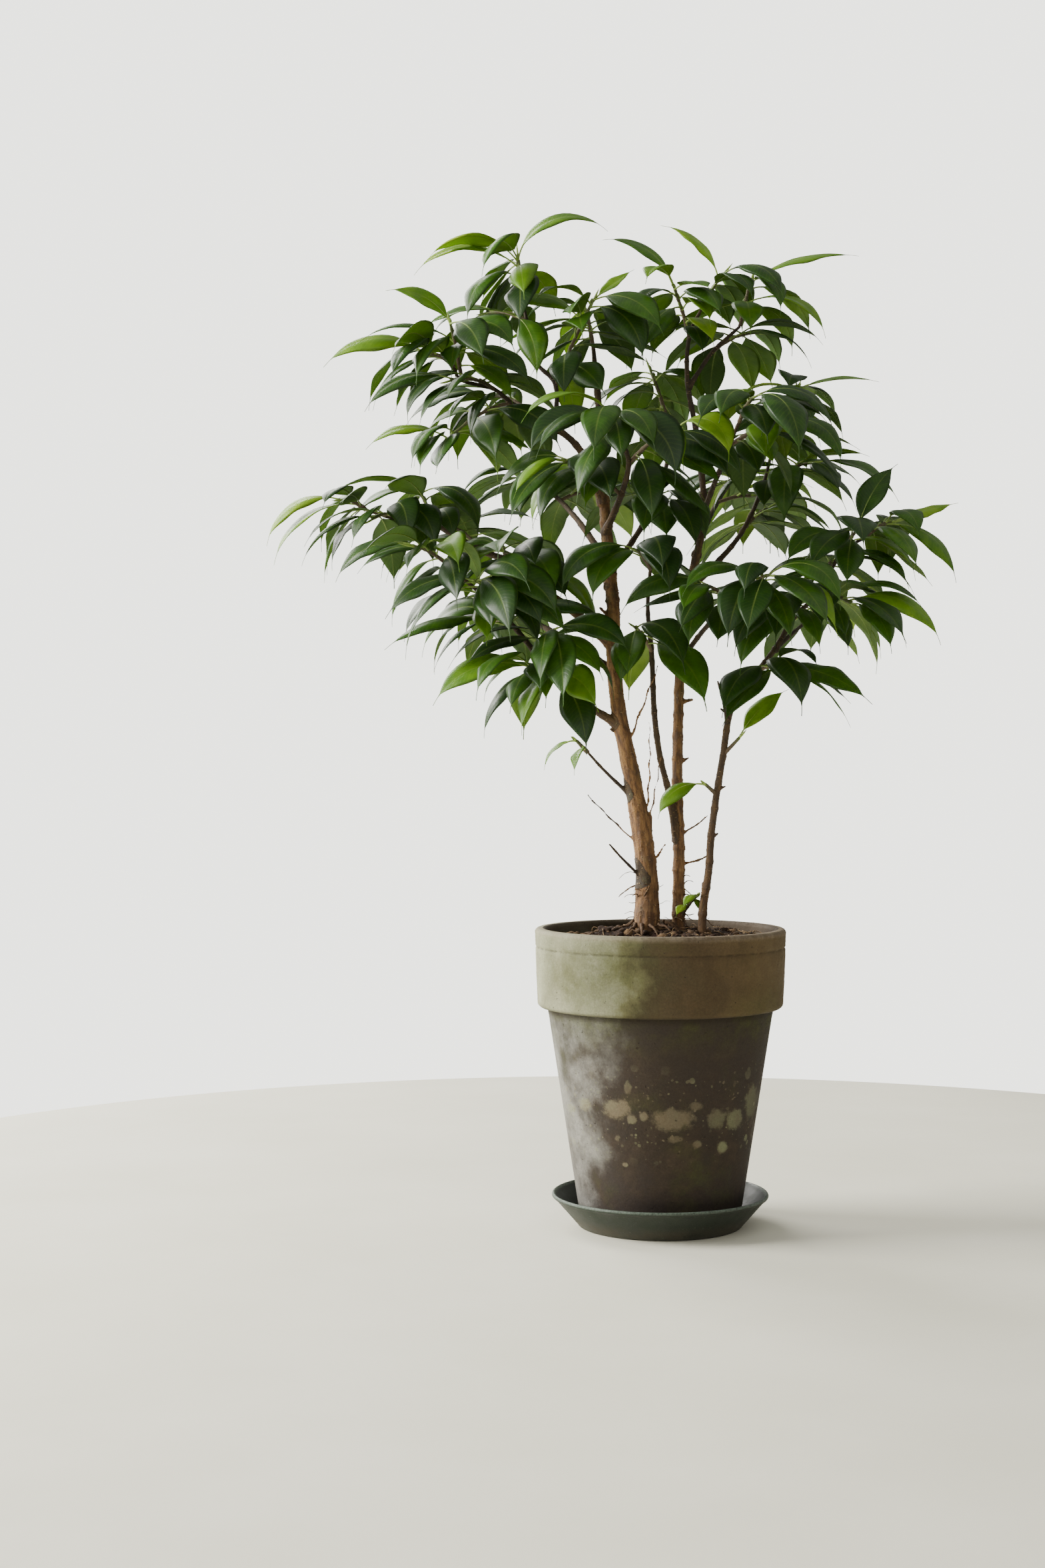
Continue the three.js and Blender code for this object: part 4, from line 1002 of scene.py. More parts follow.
def soil_material():
    """Potting soil: near-black peat with brown fibres and a few pale grains."""
    shade = Shade("potting_soil", specular=0.2)
    patch = shade.noise(11, detail=5)
    crumb = shade.noise(1.6, detail=5, roughness=0.7)
    tone = shade.attribute("tone").outputs["Fac"]
    colour = shade.ramp(crumb, [
        (0.3, 28, 20, 16), (0.5, 46, 33, 26), (0.72, 76, 55, 42),
    ])
    colour = shade.mix(shade.spread(patch, 0.5, 0.7, 0.0, 0.5), colour, shade_of(62, 38, 33))
    colour = shade.mix(shade.times(tone, 0.8), colour, shade_of(140, 112, 82))
    grain = shade.spread(shade.cells(3.4).outputs["Distance"], 0.05, 0.11, 1.0, 0.0)
    colour = shade.mix(shade.times(grain, 0.5), colour, shade_of(168, 146, 118))
    shade.set("Base Color", colour)
    shade.set("Roughness", shade.spread(patch, 0.3, 0.7, 0.86, 0.98))
    shade.set("Normal", shade.bump(crumb, 1.0))
    return shade.material

# ------------------------------------------------------------------ the pot and the saucer
AROUND = 240


def make_pot(material):
    """The turned clay wall, with a soft lip, a tool line under it, and slight unevenness."""
    inside = RIM_RADIUS - POT_WALL
    collar_low = RIM_Z - POT_COLLAR_HEIGHT
    low_radius = RIM_RADIUS - POT_COLLAR_TAPER
    edge = POT_EDGE
    outline = [(DRAIN_RADIUS, POT_Z)]
    outline += stretch(outline[-1], (POT_BASE_RADIUS - edge, POT_Z), 6)
    outline += quarter(POT_BASE_RADIUS - edge, POT_Z + edge, edge, -90, 0)[1:]
    outline += stretch(outline[-1], (POT_BODY_TOP_RADIUS - 0.6, collar_low - 1.6), 56)
    # the corner under the collar
    outline += quarter(POT_BODY_TOP_RADIUS + 0.6, collar_low - 1.3, 1.2, 180, 90)[1:]
    outline += stretch(outline[-1], (low_radius - edge, collar_low), 3)
    outline += quarter(low_radius - edge, collar_low + edge, edge, -90, 0)[1:]
    line_z = RIM_Z - 12.5
    def face_radius(z):
        return low_radius + POT_COLLAR_TAPER * (z - collar_low) / POT_COLLAR_HEIGHT
    outline += stretch(outline[-1], (face_radius(line_z - 1.2), line_z - 1.2), 18)
    outline += [(face_radius(line_z) - 0.55, line_z - 0.3), (face_radius(line_z) - 0.55, line_z + 0.3),
                (face_radius(line_z + 1.2), line_z + 1.2)]
    outline += stretch(outline[-1], (RIM_RADIUS - 0.1, RIM_Z - edge), 6)
    outline += quarter(RIM_RADIUS - edge, RIM_Z - edge, edge, 0, 90, 8)[1:]
    outline += quarter(inside + edge, RIM_Z - edge, edge, 90, 180, 8)
    outline += stretch(outline[-1], (POT_BODY_TOP_RADIUS - POT_WALL, collar_low), 14)
    outline += stretch(outline[-1], (POT_BASE_RADIUS - POT_WALL + 1, POT_Z + POT_FLOOR), 14)
    outline += stretch(outline[-1], (DRAIN_RADIUS, POT_Z + POT_FLOOR), 6)

    def bump(radius, z, angle):
        x, y = radius * math.cos(angle), radius * math.sin(angle)
        if radius < inside - 1 and z < RIM_Z - 16:
            return 0.0
        handling = 0.28 * rough(x, y, z, 38, 3.0) + 0.12 * rough(x, y, z, 11, 9.0)
        pitting = 0.10 * rough(x, y, z, 3.2, 5.0)
        chips = min(0.0, rough(x, y, z, 6.5, 21.0) + 0.5) * 1.6
        near_lip = max(0.0, 1 - abs(z - RIM_Z + 1.5) / 2.5) + max(0.0, 1 - abs(z - collar_low - 1.0) / 2.0)
        rings = 0.05 * math.sin(z * 2.1 + 0.4 * math.sin(angle * 3))
        inward = 1.0 if radius > inside + edge else -1.0
        return (handling + pitting + rings + chips * near_lip * 0.7) * inward - 0.25 * (inward > 0)

    sketch = Sketch()
    turned(sketch, outline, AROUND, bump)
    return place_piece(sketch.build("clay_pot", [material]), "terracotta", "pot")


def make_saucer(material):
    """Thin moulded dish with a rolled lip and a foot ring."""
    top = SAUCER_HIGH.x
    height = SAUCER_HIGH.z
    lip = SAUCER_LIP
    outer = top - lip
    inner = outer - SAUCER_WALL
    floor_edge = SAUCER_BASE_RADIUS - SAUCER_WALL + 1.7
    outline = [(0.0, 1.3)]
    outline += stretch(outline[-1], (SAUCER_BASE_RADIUS - 8, 1.3), 8)
    outline += [(SAUCER_BASE_RADIUS - 7.2, 0.0)]
    outline += stretch(outline[-1], (SAUCER_BASE_RADIUS - 2.2, 0.0), 3)
    outline += quarter(SAUCER_BASE_RADIUS - 2.0, 2.0, 2.0, -90, -25, 5)
    outline += stretch(outline[-1], (outer - 0.5, height - 2.4 * lip), 16)
    outline += quarter(outer, height - lip, lip, -70, 100, 10)
    outline += stretch(outline[-1], (inner, height - 2.0 * lip), 3)
    outline += stretch(outline[-1], (floor_edge + 0.6, SAUCER_FLOOR + 1.0), 14)
    outline += [(floor_edge - 0.6, SAUCER_FLOOR)]
    outline += stretch(outline[-1], (0.0, SAUCER_FLOOR), 22)
    sketch = Sketch()

    def bump(radius, z, angle):
        warp = 0.35 * math.sin(2 * angle + 0.7) * (z / height) ** 2
        return warp + 0.03 * rough(radius * math.cos(angle), radius * math.sin(angle), z, 9, 14.0)

    turned(sketch, outline, AROUND, bump, closed=False)
    piece = place_piece(sketch.build("plant_saucer", [material]), "saucer_plastic", "saucer")
    return weld(piece)


def weld(piece, distance=0.02):
    """Merges the points that lie together, such as those on a turned form's axis."""
    body = bmesh.new()
    body.from_mesh(piece.data)
    bmesh.ops.remove_doubles(body, verts=body.verts, dist=distance * MM)
    bmesh.ops.dissolve_degenerate(body, edges=body.edges, dist=0.001 * MM)
    body.to_mesh(piece.data)
    body.free()
    return piece


# ------------------------------------------------------------------ the soil
def soil_height(x, y):
    """The mound's top, lumpy, and rising a little round the stems."""
    top = POT_Z + POT_HEIGHT - SOIL_BELOW_RIM
    away = math.hypot(x, y)
    rise = SOIL_MOUND * 0.5 * (1 + math.cos(math.pi * min(1.0, away / SOIL_RADIUS)))
    lumps = 2.4 * rough(x, y, 0, 19, 2.0) + 1.6 * rough(x, y, 0, 8, 4.0)
    crumbs = 1.1 * abs(rough(x, y, 0, 3.6, 6.0)) + 0.6 * abs(rough(x, y, 0, 1.9, 8.0))
    fade = min(1.0, (SOIL_RADIUS - away) / 6 + 0.35)
    heap = sum(high * math.exp(-(((x - cx) ** 2 + (y - cy) ** 2) / wide**2))
               for cx, cy, wide, high in SOIL_HEAPS)
    return top + rise * 0.7 + heap + (lumps + crumbs) * fade + SOIL_LIFT


SOIL_RADIUS = RIM_RADIUS - POT_WALL - 1.2
SOIL_LIFT = 4.0
# heaps of loose soil: x, y, width and height in millimetres
SOIL_HEAPS = (
    (-34, -6, 15, 5.0), (-20, 24, 20, 3.5), (38, 20, 20, 3.0), (58, -10, 14, 2.5), (12, -34, 16, 2.0),
)


def make_soil(material, root_material):
    """One closed lumpy plug of soil, with loose clods, chips of bark and bits of root on it."""
    sketch = Sketch()
    rings, around = 58, 260
    points = [(0.0, 0.0, soil_height(0, 0))]
    for i in range(1, rings + 1):
        radius = SOIL_RADIUS * (i / rings)
        for k in range(around):
            angle = 2 * math.pi * k / around
            x, y = radius * math.cos(angle), radius * math.sin(angle)
            points.append((x, y, soil_height(x, y)))
    faces = [(0, 1 + k, 1 + (k + 1) % around) for k in range(around)]
    for i in range(rings - 1):
        near, far = 1 + i * around, 1 + (i + 1) * around
        for k in range(around):
            j = (k + 1) % around
            faces.append((near + k, far + k, far + j, near + j))
    lower = POT_Z + POT_FLOOR + 1
    last = 1 + (rings - 1) * around
    steps = [(POT_BODY_TOP_RADIUS - POT_WALL - 1.0, RIM_Z - POT_COLLAR_HEIGHT),
             (POT_BASE_RADIUS - POT_WALL + 0.2, lower)]
    for radius, z in steps:
        start = len(points)
        for k in range(around):
            angle = 2 * math.pi * k / around
            points.append((radius * math.cos(angle), radius * math.sin(angle), z))
        for k in range(around):
            j = (k + 1) % around
            faces.append((last + k, start + k, start + j, last + j))
        last = start
    faces.append(tuple(last + k for k in reversed(range(around))))
    sketch.add(points, faces)
    add_clods(sketch)
    piece = sketch.build("potting_soil_top", [material, root_material])
    return place_piece(piece, "potting_soil", "soil")


def pebble(chance, size, flatness):
    """The points and faces of a small uneven lump."""
    body = bmesh.new()
    bmesh.ops.create_icosphere(body, subdivisions=2, radius=1.0)
    seed = chance.uniform(0, 100)
    stretch_by = (size * chance.uniform(0.7, 1.4), size * chance.uniform(0.7, 1.2), size * flatness)
    turn = chance.uniform(0, 2 * math.pi)
    tip = chance.uniform(-0.5, 0.5)
    points = []
    for vertex in body.verts:
        spot = vertex.co * (1 + 0.42 * noise.noise(vertex.co * 1.6 + Vector((seed, 0, 0))))
        x, y, z = spot.x * stretch_by[0], spot.y * stretch_by[1], spot.z * stretch_by[2]
        y, z = y * math.cos(tip) - z * math.sin(tip), y * math.sin(tip) + z * math.cos(tip)
        points.append((x * math.cos(turn) - y * math.sin(turn), x * math.sin(turn) + y * math.cos(turn), z))
    faces = [tuple(v.index for v in face.verts) for face in body.faces]
    body.free()
    return np.array(points), faces


def add_clods(sketch):
    chance = random.Random(31)
    for _ in range(900):
        radius = SOIL_RADIUS * math.sqrt(chance.uniform(0, 0.94))
        angle = chance.uniform(0, 2 * math.pi)
        x, y = radius * math.cos(angle), radius * math.sin(angle)
        size = 0.7 + 2.6 * chance.random() ** 3
        points, faces = pebble(chance, size, chance.uniform(0.35, 0.9))
        light = chance.random() ** 4
        points += (x, y, soil_height(x, y) + 0.25 * size)
        sketch.add(points, faces, 0, tone=light)
    for _ in range(230):
        radius = SOIL_RADIUS * math.sqrt(chance.uniform(0, 0.9))
        angle = chance.uniform(0, 2 * math.pi)
        x, y = radius * math.cos(angle), radius * math.sin(angle)
        way = chance.uniform(0, 2 * math.pi)
        length = chance.uniform(4, 15)
        bow = chance.uniform(-0.35, 0.35)
        lift = chance.uniform(0.2, 0.7) if chance.random() < 0.8 else chance.uniform(1.5, 4)
        spots = []
        for i in range(7):
            t = i / 6 - 0.5
            px = x + length * (t * math.cos(way) - bow * (t * t - 0.25) * math.sin(way))
            py = y + length * (t * math.sin(way) + bow * (t * t - 0.25) * math.cos(way))
            if math.hypot(px, py) > SOIL_RADIUS - 1:
                break
            spots.append((px, py, soil_height(px, py) + lift + 0.5 * math.sin(6 * t + way)))
        if len(spots) > 3:
            thick = chance.uniform(0.2, 0.45)
            sketch.add_tube(spots, [thick] * len(spots), 6, 1, tone=chance.uniform(0, 0.8))


def root_material():
    """Fine dry roots and fibres, grey-brown to straw."""
    shade = Shade("root_fibre", specular=0.3)
    tone = shade.attribute("tone").outputs["Fac"]
    streak = shade.noise(1.4, detail=4)
    share = shade.plus(tone, shade.spread(streak, 0.3, 0.7, -0.2, 0.2))
    shade.set("Base Color", shade.ramp(share, [
        (0.0, 52, 38, 28), (0.5, 92, 70, 50), (1.0, 164, 136, 98),
    ]))
    shade.set("Roughness", shade.spread(streak, 0.3, 0.7, 0.75, 0.92))
    shade.set("Normal", shade.bump(streak, 0.2))
    return shade.material


# ------------------------------------------------------------------ the stems
STEM_VOXEL = 0.62


def smooth_step(value):
    value = min(1.0, max(0.0, value))
    return value * value * (3 - 2 * value)


def limb_line(limb, spacing=1.6):
    """Even points along a limb, their radii, and how far along each one is."""
    rough_count = 40 * (len(limb) - 1)
    fine = np.array([limb_point(limb, i / rough_count) for i in range(rough_count + 1)])
    radii = np.array([limb_radius(limb, i / rough_count) for i in range(rough_count + 1)])
    steps = np.concatenate([[0], np.cumsum(np.linalg.norm(np.diff(fine, axis=0), axis=1))])
    count = max(4, int(steps[-1] / spacing))
    runs = np.linspace(0, steps[-1], count + 1)
    spots = np.stack([np.interp(runs, steps, fine[:, i]) for i in range(3)], axis=1)
    return spots, np.interp(runs, steps, radii), runs


def add_limb(sketch, limb, chance, first):
    """A limb with a collar where it leaves its parent and low swellings at its old leaf scars."""
    spots, radii, runs = limb_line(limb)
    node_gap = chance.uniform(13, 19)
    offset = chance.uniform(0, node_gap)
    swollen = []
    for run, radius in zip(runs, radii):
        cycle = (run + offset) % node_gap
        near = min(cycle, node_gap - cycle)
        if radius < 4.5:
            knot = 0.16 * math.exp(-((near / 1.5) ** 2))
        else:
            knot = 0.05 * math.exp(-((near / 2.5) ** 2))
        extra = radius * knot
        if not first:
            extra += radius * 0.75 * math.exp(-run / (radius * 2.2))
        swollen.append(radius + extra)
    wobble = np.array([
        [0.22 * noise.noise(Vector((run / 17, seed, limb[0][3]))) for seed in (1.5, 7.5, 13.5)]
        for run in runs
    ]) * np.minimum(1.0, radii / 2)[:, None]
    sketch.add_tube(spots + wobble, swollen, 20 if radii.max() > 4 else 12)


# Dead twig ends and old snags on each stem: height above the rim, way out, length, radius.
SNAGS = {
    "trunk_left": [
        (53, (-0.72, -0.1, 0.62), 52, 0.75), (120, (0.35, -0.2, 0.9), 58, 0.8),
        (128, (-0.9, -0.2, 0.5), 11, 1.2),
        (210, (-0.9, 0.1, 0.45), 11, 1.3), (38, (0.45, -0.3, 0.75), 22, 0.9), (170, (0.1, 0.8, 0.5), 20, 0.9),
        (60, (0.16, -0.2, 1.0), 74, 0.7), (58, (0.26, -0.1, 1.0), 56, 0.7),
    ],
    "stem_centre": [
        (60, (0.8, -0.2, 0.6), 24, 0.8), (42, (0.95, -0.3, 0.25), 24, 0.9), (110, (0.85, 0.1, 0.4), 9, 1.2),
        (152, (0.9, -0.1, 0.1), 10, 1.3), (80, (-0.2, 0.8, 0.5), 18, 0.8),
    ],
    "stem_right": [
        (144, (-0.9, 0.1, 0.4), 7, 0.9), (92, (0.8, -0.3, 0.5), 7, 0.8), (60, (0.8, 0.3, 0.5), 6, 0.8),
    ],
}


def add_snag(sketch, limb, height, way, length, radius, chance):
    way = unit(np.array(way, dtype=float))
    side = unit(np.cross(way, (0.3, 0.5, 0.8)))
    spine = limb_line(limb)[0]
    start = spine[np.abs(spine[:, 2] - RIM_Z - height).argmin()]
    spots, radii = [], []
    steps = max(6, int(length / 1.4))
    bend = chance.uniform(-0.12, 0.12)
    gap = chance.uniform(7, 11)
    for i in range(steps + 1):
        t = i / steps
        run = t * length
        spots.append(start + way * run + side * (bend * length * t * t) + UP * (0.06 * length * t * t)
                     + side * (0.5 * math.sin(run / gap * math.pi)))
        near = abs((run % gap) - gap / 2)
        radii.append(radius * (1.5 * math.exp(-run / 2) + 1 - 0.35 * t) * (1 + 0.35 * math.exp(-near * near)))
    sketch.add_tube(spots, radii, 10)


def remeshed(sketch, name, voxel):
    """Joins overlapping closed tubes into one closed skin."""
    raw = sketch.build(name + "_raw", [])
    modifier = raw.modifiers.new("join", "REMESH")
    modifier.mode = "VOXEL"
    modifier.voxel_size = voxel * MM
    modifier.adaptivity = 0.0
    smooth = raw.modifiers.new("smooth", "SMOOTH")
    smooth.factor = 0.5
    smooth.iterations = 2
    graph = bpy.context.evaluated_depsgraph_get()
    mesh = bpy.data.meshes.new_from_object(raw.evaluated_get(graph))
    bpy.data.objects.remove(raw)
    return mesh


def dress_stem(mesh, limbs):
    """Gives the skin its bark relief, and the grain coordinates and age that the bark material reads."""
    lines = [limb_line(limb, 2.5) for limb in limbs]
    tree = kdtree.KDTree(sum(len(line[0]) for line in lines))
    frames = []
    for spots, radii, runs in lines:
        along = np.gradient(spots, axis=0)
        side = np.array((1.0, 0.0, 0.0))
        for spot, radius, run, way in zip(spots, radii, runs, along):
            way = unit(way)
            side = unit(side - way * side.dot(way))
            tree.insert(spot, len(frames))
            frames.append((spot, way, side, np.cross(way, side), radius, run))
    tree.balance()
    count = len(mesh.vertices)
    places = np.empty(count * 3)
    normals = np.empty(count * 3)
    mesh.vertices.foreach_get("co", places)
    mesh.vertices.foreach_get("normal", normals)
    places = places.reshape(-1, 3) / MM
    normals = normals.reshape(-1, 3)
    grain = np.empty((count, 3))
    age = np.empty(count)
    for i, place in enumerate(places):
        spot, way, side, other, radius, run = frames[tree.find(place)[1]]
        off = place - spot
        grain[i] = (off.dot(side), off.dot(other), run + off.dot(way))
        age[i] = min(1.0, max(0.0, (radius - 1.6) / 2.6))
        gx, gy, gz = grain[i]
        ridge = noise.noise(Vector((gx / 1.9, gy / 1.9, gz / 14)))
        lump = noise.noise(Vector((gx / 4, gy / 4, gz / 9 + 40)))
        pore = max(0.0, noise.noise(Vector((gx / 1.4, gy / 1.4, gz / 1.1 + 90))) - 0.28)
        size = min(1.0, radius / 6)
        lift = 0.34 * size * ridge + 0.42 * size * lump + 0.9 * min(1.0, radius / 3) * pore
        places[i] += normals[i] * lift
    mesh.vertices.foreach_set("co", (places * MM).ravel())
    grain_data = mesh.attributes.new("grain", "FLOAT_VECTOR", "POINT")
    grain_data.data.foreach_set("vector", (grain * MM).ravel())
    tone = mesh.attributes.new("tone", "FLOAT", "POINT")
    tone.data.foreach_set("value", age)
    mesh.polygons.foreach_set("use_smooth", [True] * len(mesh.polygons))
    mesh.update()


def make_stem(name, material):
    chance = random.Random(len(name) * 17)
    sketch = Sketch()
    limbs = STEMS[name]
    for index, limb in enumerate(limbs):
        add_limb(sketch, limb, chance, index == 0)
    for height, way, length, radius in SNAGS[name]:
        add_snag(sketch, limbs[0], height, way, length, radius, chance)
    for spots, radii in root_flares(name, limbs[0], chance):
        sketch.add_tube(spots, radii, 12)
    mesh = remeshed(sketch, name, STEM_VOXEL)
    dress_stem(mesh, limbs)
    mesh.materials.append(material)
    piece = bpy.data.objects.new(name + "_bark", mesh)
    bpy.context.scene.collection.objects.link(piece)
    return place_piece(piece, "bark", name)


def root_flares(name, limb, chance):
    """Ridges that run down a stem's foot and spread into the soil."""
    foot = limb_point(limb, 1 / (len(limb) - 1))
    radius = limb[1][3]
    count = {"trunk_left": 7, "stem_centre": 5, "stem_right": 3}[name]
    for i in range(count):
        angle = 2 * math.pi * (i + chance.uniform(-0.3, 0.3)) / count
        out = np.array((math.cos(angle), math.sin(angle), 0.0))
        climb = chance.uniform(30, 70) * radius / 8
        spots, radii = [], []
        for step in range(15):
            t = step / 14
            z = -30 * (1 - t) + climb * t
            spread = radius * (0.52 + 0.55 * max(0.0, 1 - (z + 30) / 30) ** 1.6)
            spots.append(foot + out * spread * (1 - 0.35 * t) + UP * z)
            radii.append(radius * (0.5 - 0.28 * t))
        yield spots, radii


def make_surface_roots(material):
    """The tangle of thin dry roots round the stems' feet, and a few hairs that stand out of the soil."""
    chance = random.Random(5)
    sketch = Sketch()

    def ground(x, y, lift=0.0):
        return np.array((x, y, soil_height(x, y) + lift))

    def curl(start, way, length, radius, twist, tone, droop=0.0):
        spots, radii = [], []
        way = unit(np.array(way, dtype=float))
        place = np.array(start, dtype=float)
        steps = max(8, int(length / 1.3))
        phase = chance.uniform(0, 6)
        side = unit(np.cross(way, (0.2, 0.9, 0.35)))
        for i in range(steps + 1):
            t = i / steps
            spots.append(place.copy())
            radii.append(radius * (1 - 0.6 * t) * (1 + 0.2 * math.sin(i * 1.7 + phase)))
            way = unit(way + side * (twist * math.sin(phase + t * 7)) - UP * (droop * t)
                       + np.array([chance.uniform(-0.12, 0.12) for _ in range(3)]))
            place = place + way * (length / steps)
        sketch.add_tube(spots, radii, 8, 0, tone=tone)

    # loops on the stems' feet: stem, height above the soil, way out, count, length and radius
    clumps = [
        ("trunk_left", 36, (-0.9, -0.3, 0.2), 5, 15, 0.7), ("trunk_left", 14, (-0.8, -0.4, 0.3), 5, 14, 0.6),
        ("trunk_left", 26, (0.6, -0.4, 0.4), 6, 14, 0.5), ("stem_centre", 12, (-0.5, -0.5, 0.5), 6, 12, 0.5),
        ("stem_centre", 44, (0.9, -0.3, 0.0), 4, 12, 0.6), ("stem_centre", 18, (0.8, -0.5, 0.1), 7, 13, 0.6),
        ("stem_centre", 20, (0.3, 0.8, 0.3), 5, 12, 0.5), ("trunk_left", 16, (-0.4, 0.8, 0.3), 5, 14, 0.5),
        ("stem_right", 12, (0.5, -0.4, 0.2), 3, 8, 0.4),
    ]
    for name, height, way, count, length, radius in clumps:
        limb = STEMS[name][0]
        spine = limb_line(limb)[0]
        for _ in range(count):
            level = RIM_Z + height - SOIL_BELOW_RIM + chance.uniform(-7, 7)
            start = spine[np.abs(spine[:, 2] - level).argmin()]
            aim = np.array(way) + [chance.uniform(-0.5, 0.5) for _ in range(3)]
            reach = limb[1][3] + length * chance.uniform(0.5, 1.2)
            curl(start, aim, reach, radius * chance.uniform(0.5, 1.1), chance.uniform(0.2, 0.5),
                 chance.uniform(0.4, 0.7), droop=0.12)
    # thicker dry roots that leave the stems and go down into the soil
    for angle in np.linspace(0.3, 6.0, 13):
        x, y = -6 + 12 * math.cos(angle), 10 * math.sin(angle)
        end = (-4 + 30 * math.cos(angle + 0.3), 26 * math.sin(angle + 0.3))
        spots = []
        for i in range(12):
            t = i / 11
            px, py = x + (end[0] - x) * t, y + (end[1] - y) * t
            arch = 6 * (1 - t) ** 2 + 1.2 * math.sin(t * 9 + angle)
            spots.append(ground(px, py, arch - 1.4 * t))
        sketch.add_tube(spots, np.linspace(1.3, 0.5, 12) * chance.uniform(0.6, 1.1), 8, 0, tone=0.35)
    # hairs over the rest of the soil
    for _ in range(46):
        radius = SOIL_RADIUS * math.sqrt(chance.uniform(0.02, 0.86))
        angle = chance.uniform(0, 2 * math.pi)
        x, y = radius * math.cos(angle), radius * math.sin(angle)
        inward = (-x / 70 + chance.uniform(-1, 1), -y / 70 + chance.uniform(-1, 1), chance.uniform(0.2, 0.9))
        curl(ground(x, y, -0.5), inward, chance.uniform(7, 16), chance.uniform(0.2, 0.4), 0.35,
             chance.uniform(0.2, 1.0), droop=0.35)
    return place_piece(sketch.build("surface_roots", [material]), "bark")

# ------------------------------------------------------------------ the leafy shoots
LEAF_STATIONS = 20
LEAF_ACROSS = 8
LEAF_FOLD = 0.24
LEAF_CURL = 0.30
BLADE_THICKNESS = 0.34
LIGHT_LEAF_SHARE = 0.22
# Shoots whose leaves are young and light all over.
YOUNG_SHOOTS = (
    "sucker_shoot", "shoot_stem_right_upper", "shoot_stem_right_lower",
)

# Shoots whose outline leaves are light, as they catch the sky; this lighter tone is painted light.
SKY_LIT_OUTLINE_SHOOTS = (
    "shoot_top_left", "shoot_upper_left_end", "shoot_upper_left_low", "shoot_upper_left_top",
    "shoot_crown_right_end", "shoot_crown_right", "shoot_right_top", "shoot_far_right_end",
    "shoot_far_left_end", "shoot_crown_left", "shoot_left_lowest",
)


def leaf_tone(leaf, chance):
    """0 is an old dark leaf and 1 new growth; leaves near a twig's tip are younger, and outline leaves of
    some shoots get a light tone as painted light.
    """
    tone = 0.10 + 0.34 * chance.random() ** 1.5
    tone += 0.26 * smooth_step((leaf.along - 0.72) / 0.28) * chance.random()
    if chance.random() < LIGHT_LEAF_SHARE:
        tone += 0.45 * chance.random()
    tone += 0.16 * smooth_step((leaf.root[2] - RIM_Z - 300) / 130) * chance.random()
    tone += 0.16 * (0.9 - leaf.size) if leaf.size < 0.9 else 0.0
    # painted light: outline leaves of these shoots get a light tone, as they catch the sky
    if leaf.in_outline and leaf.shoot in SKY_LIT_OUTLINE_SHOOTS:
        tone = 0.55 + 0.3 * chance.random()
    if leaf.shoot in YOUNG_SHOOTS:
        tone = 0.62 + 0.3 * chance.random()
    return min(1.0, tone)


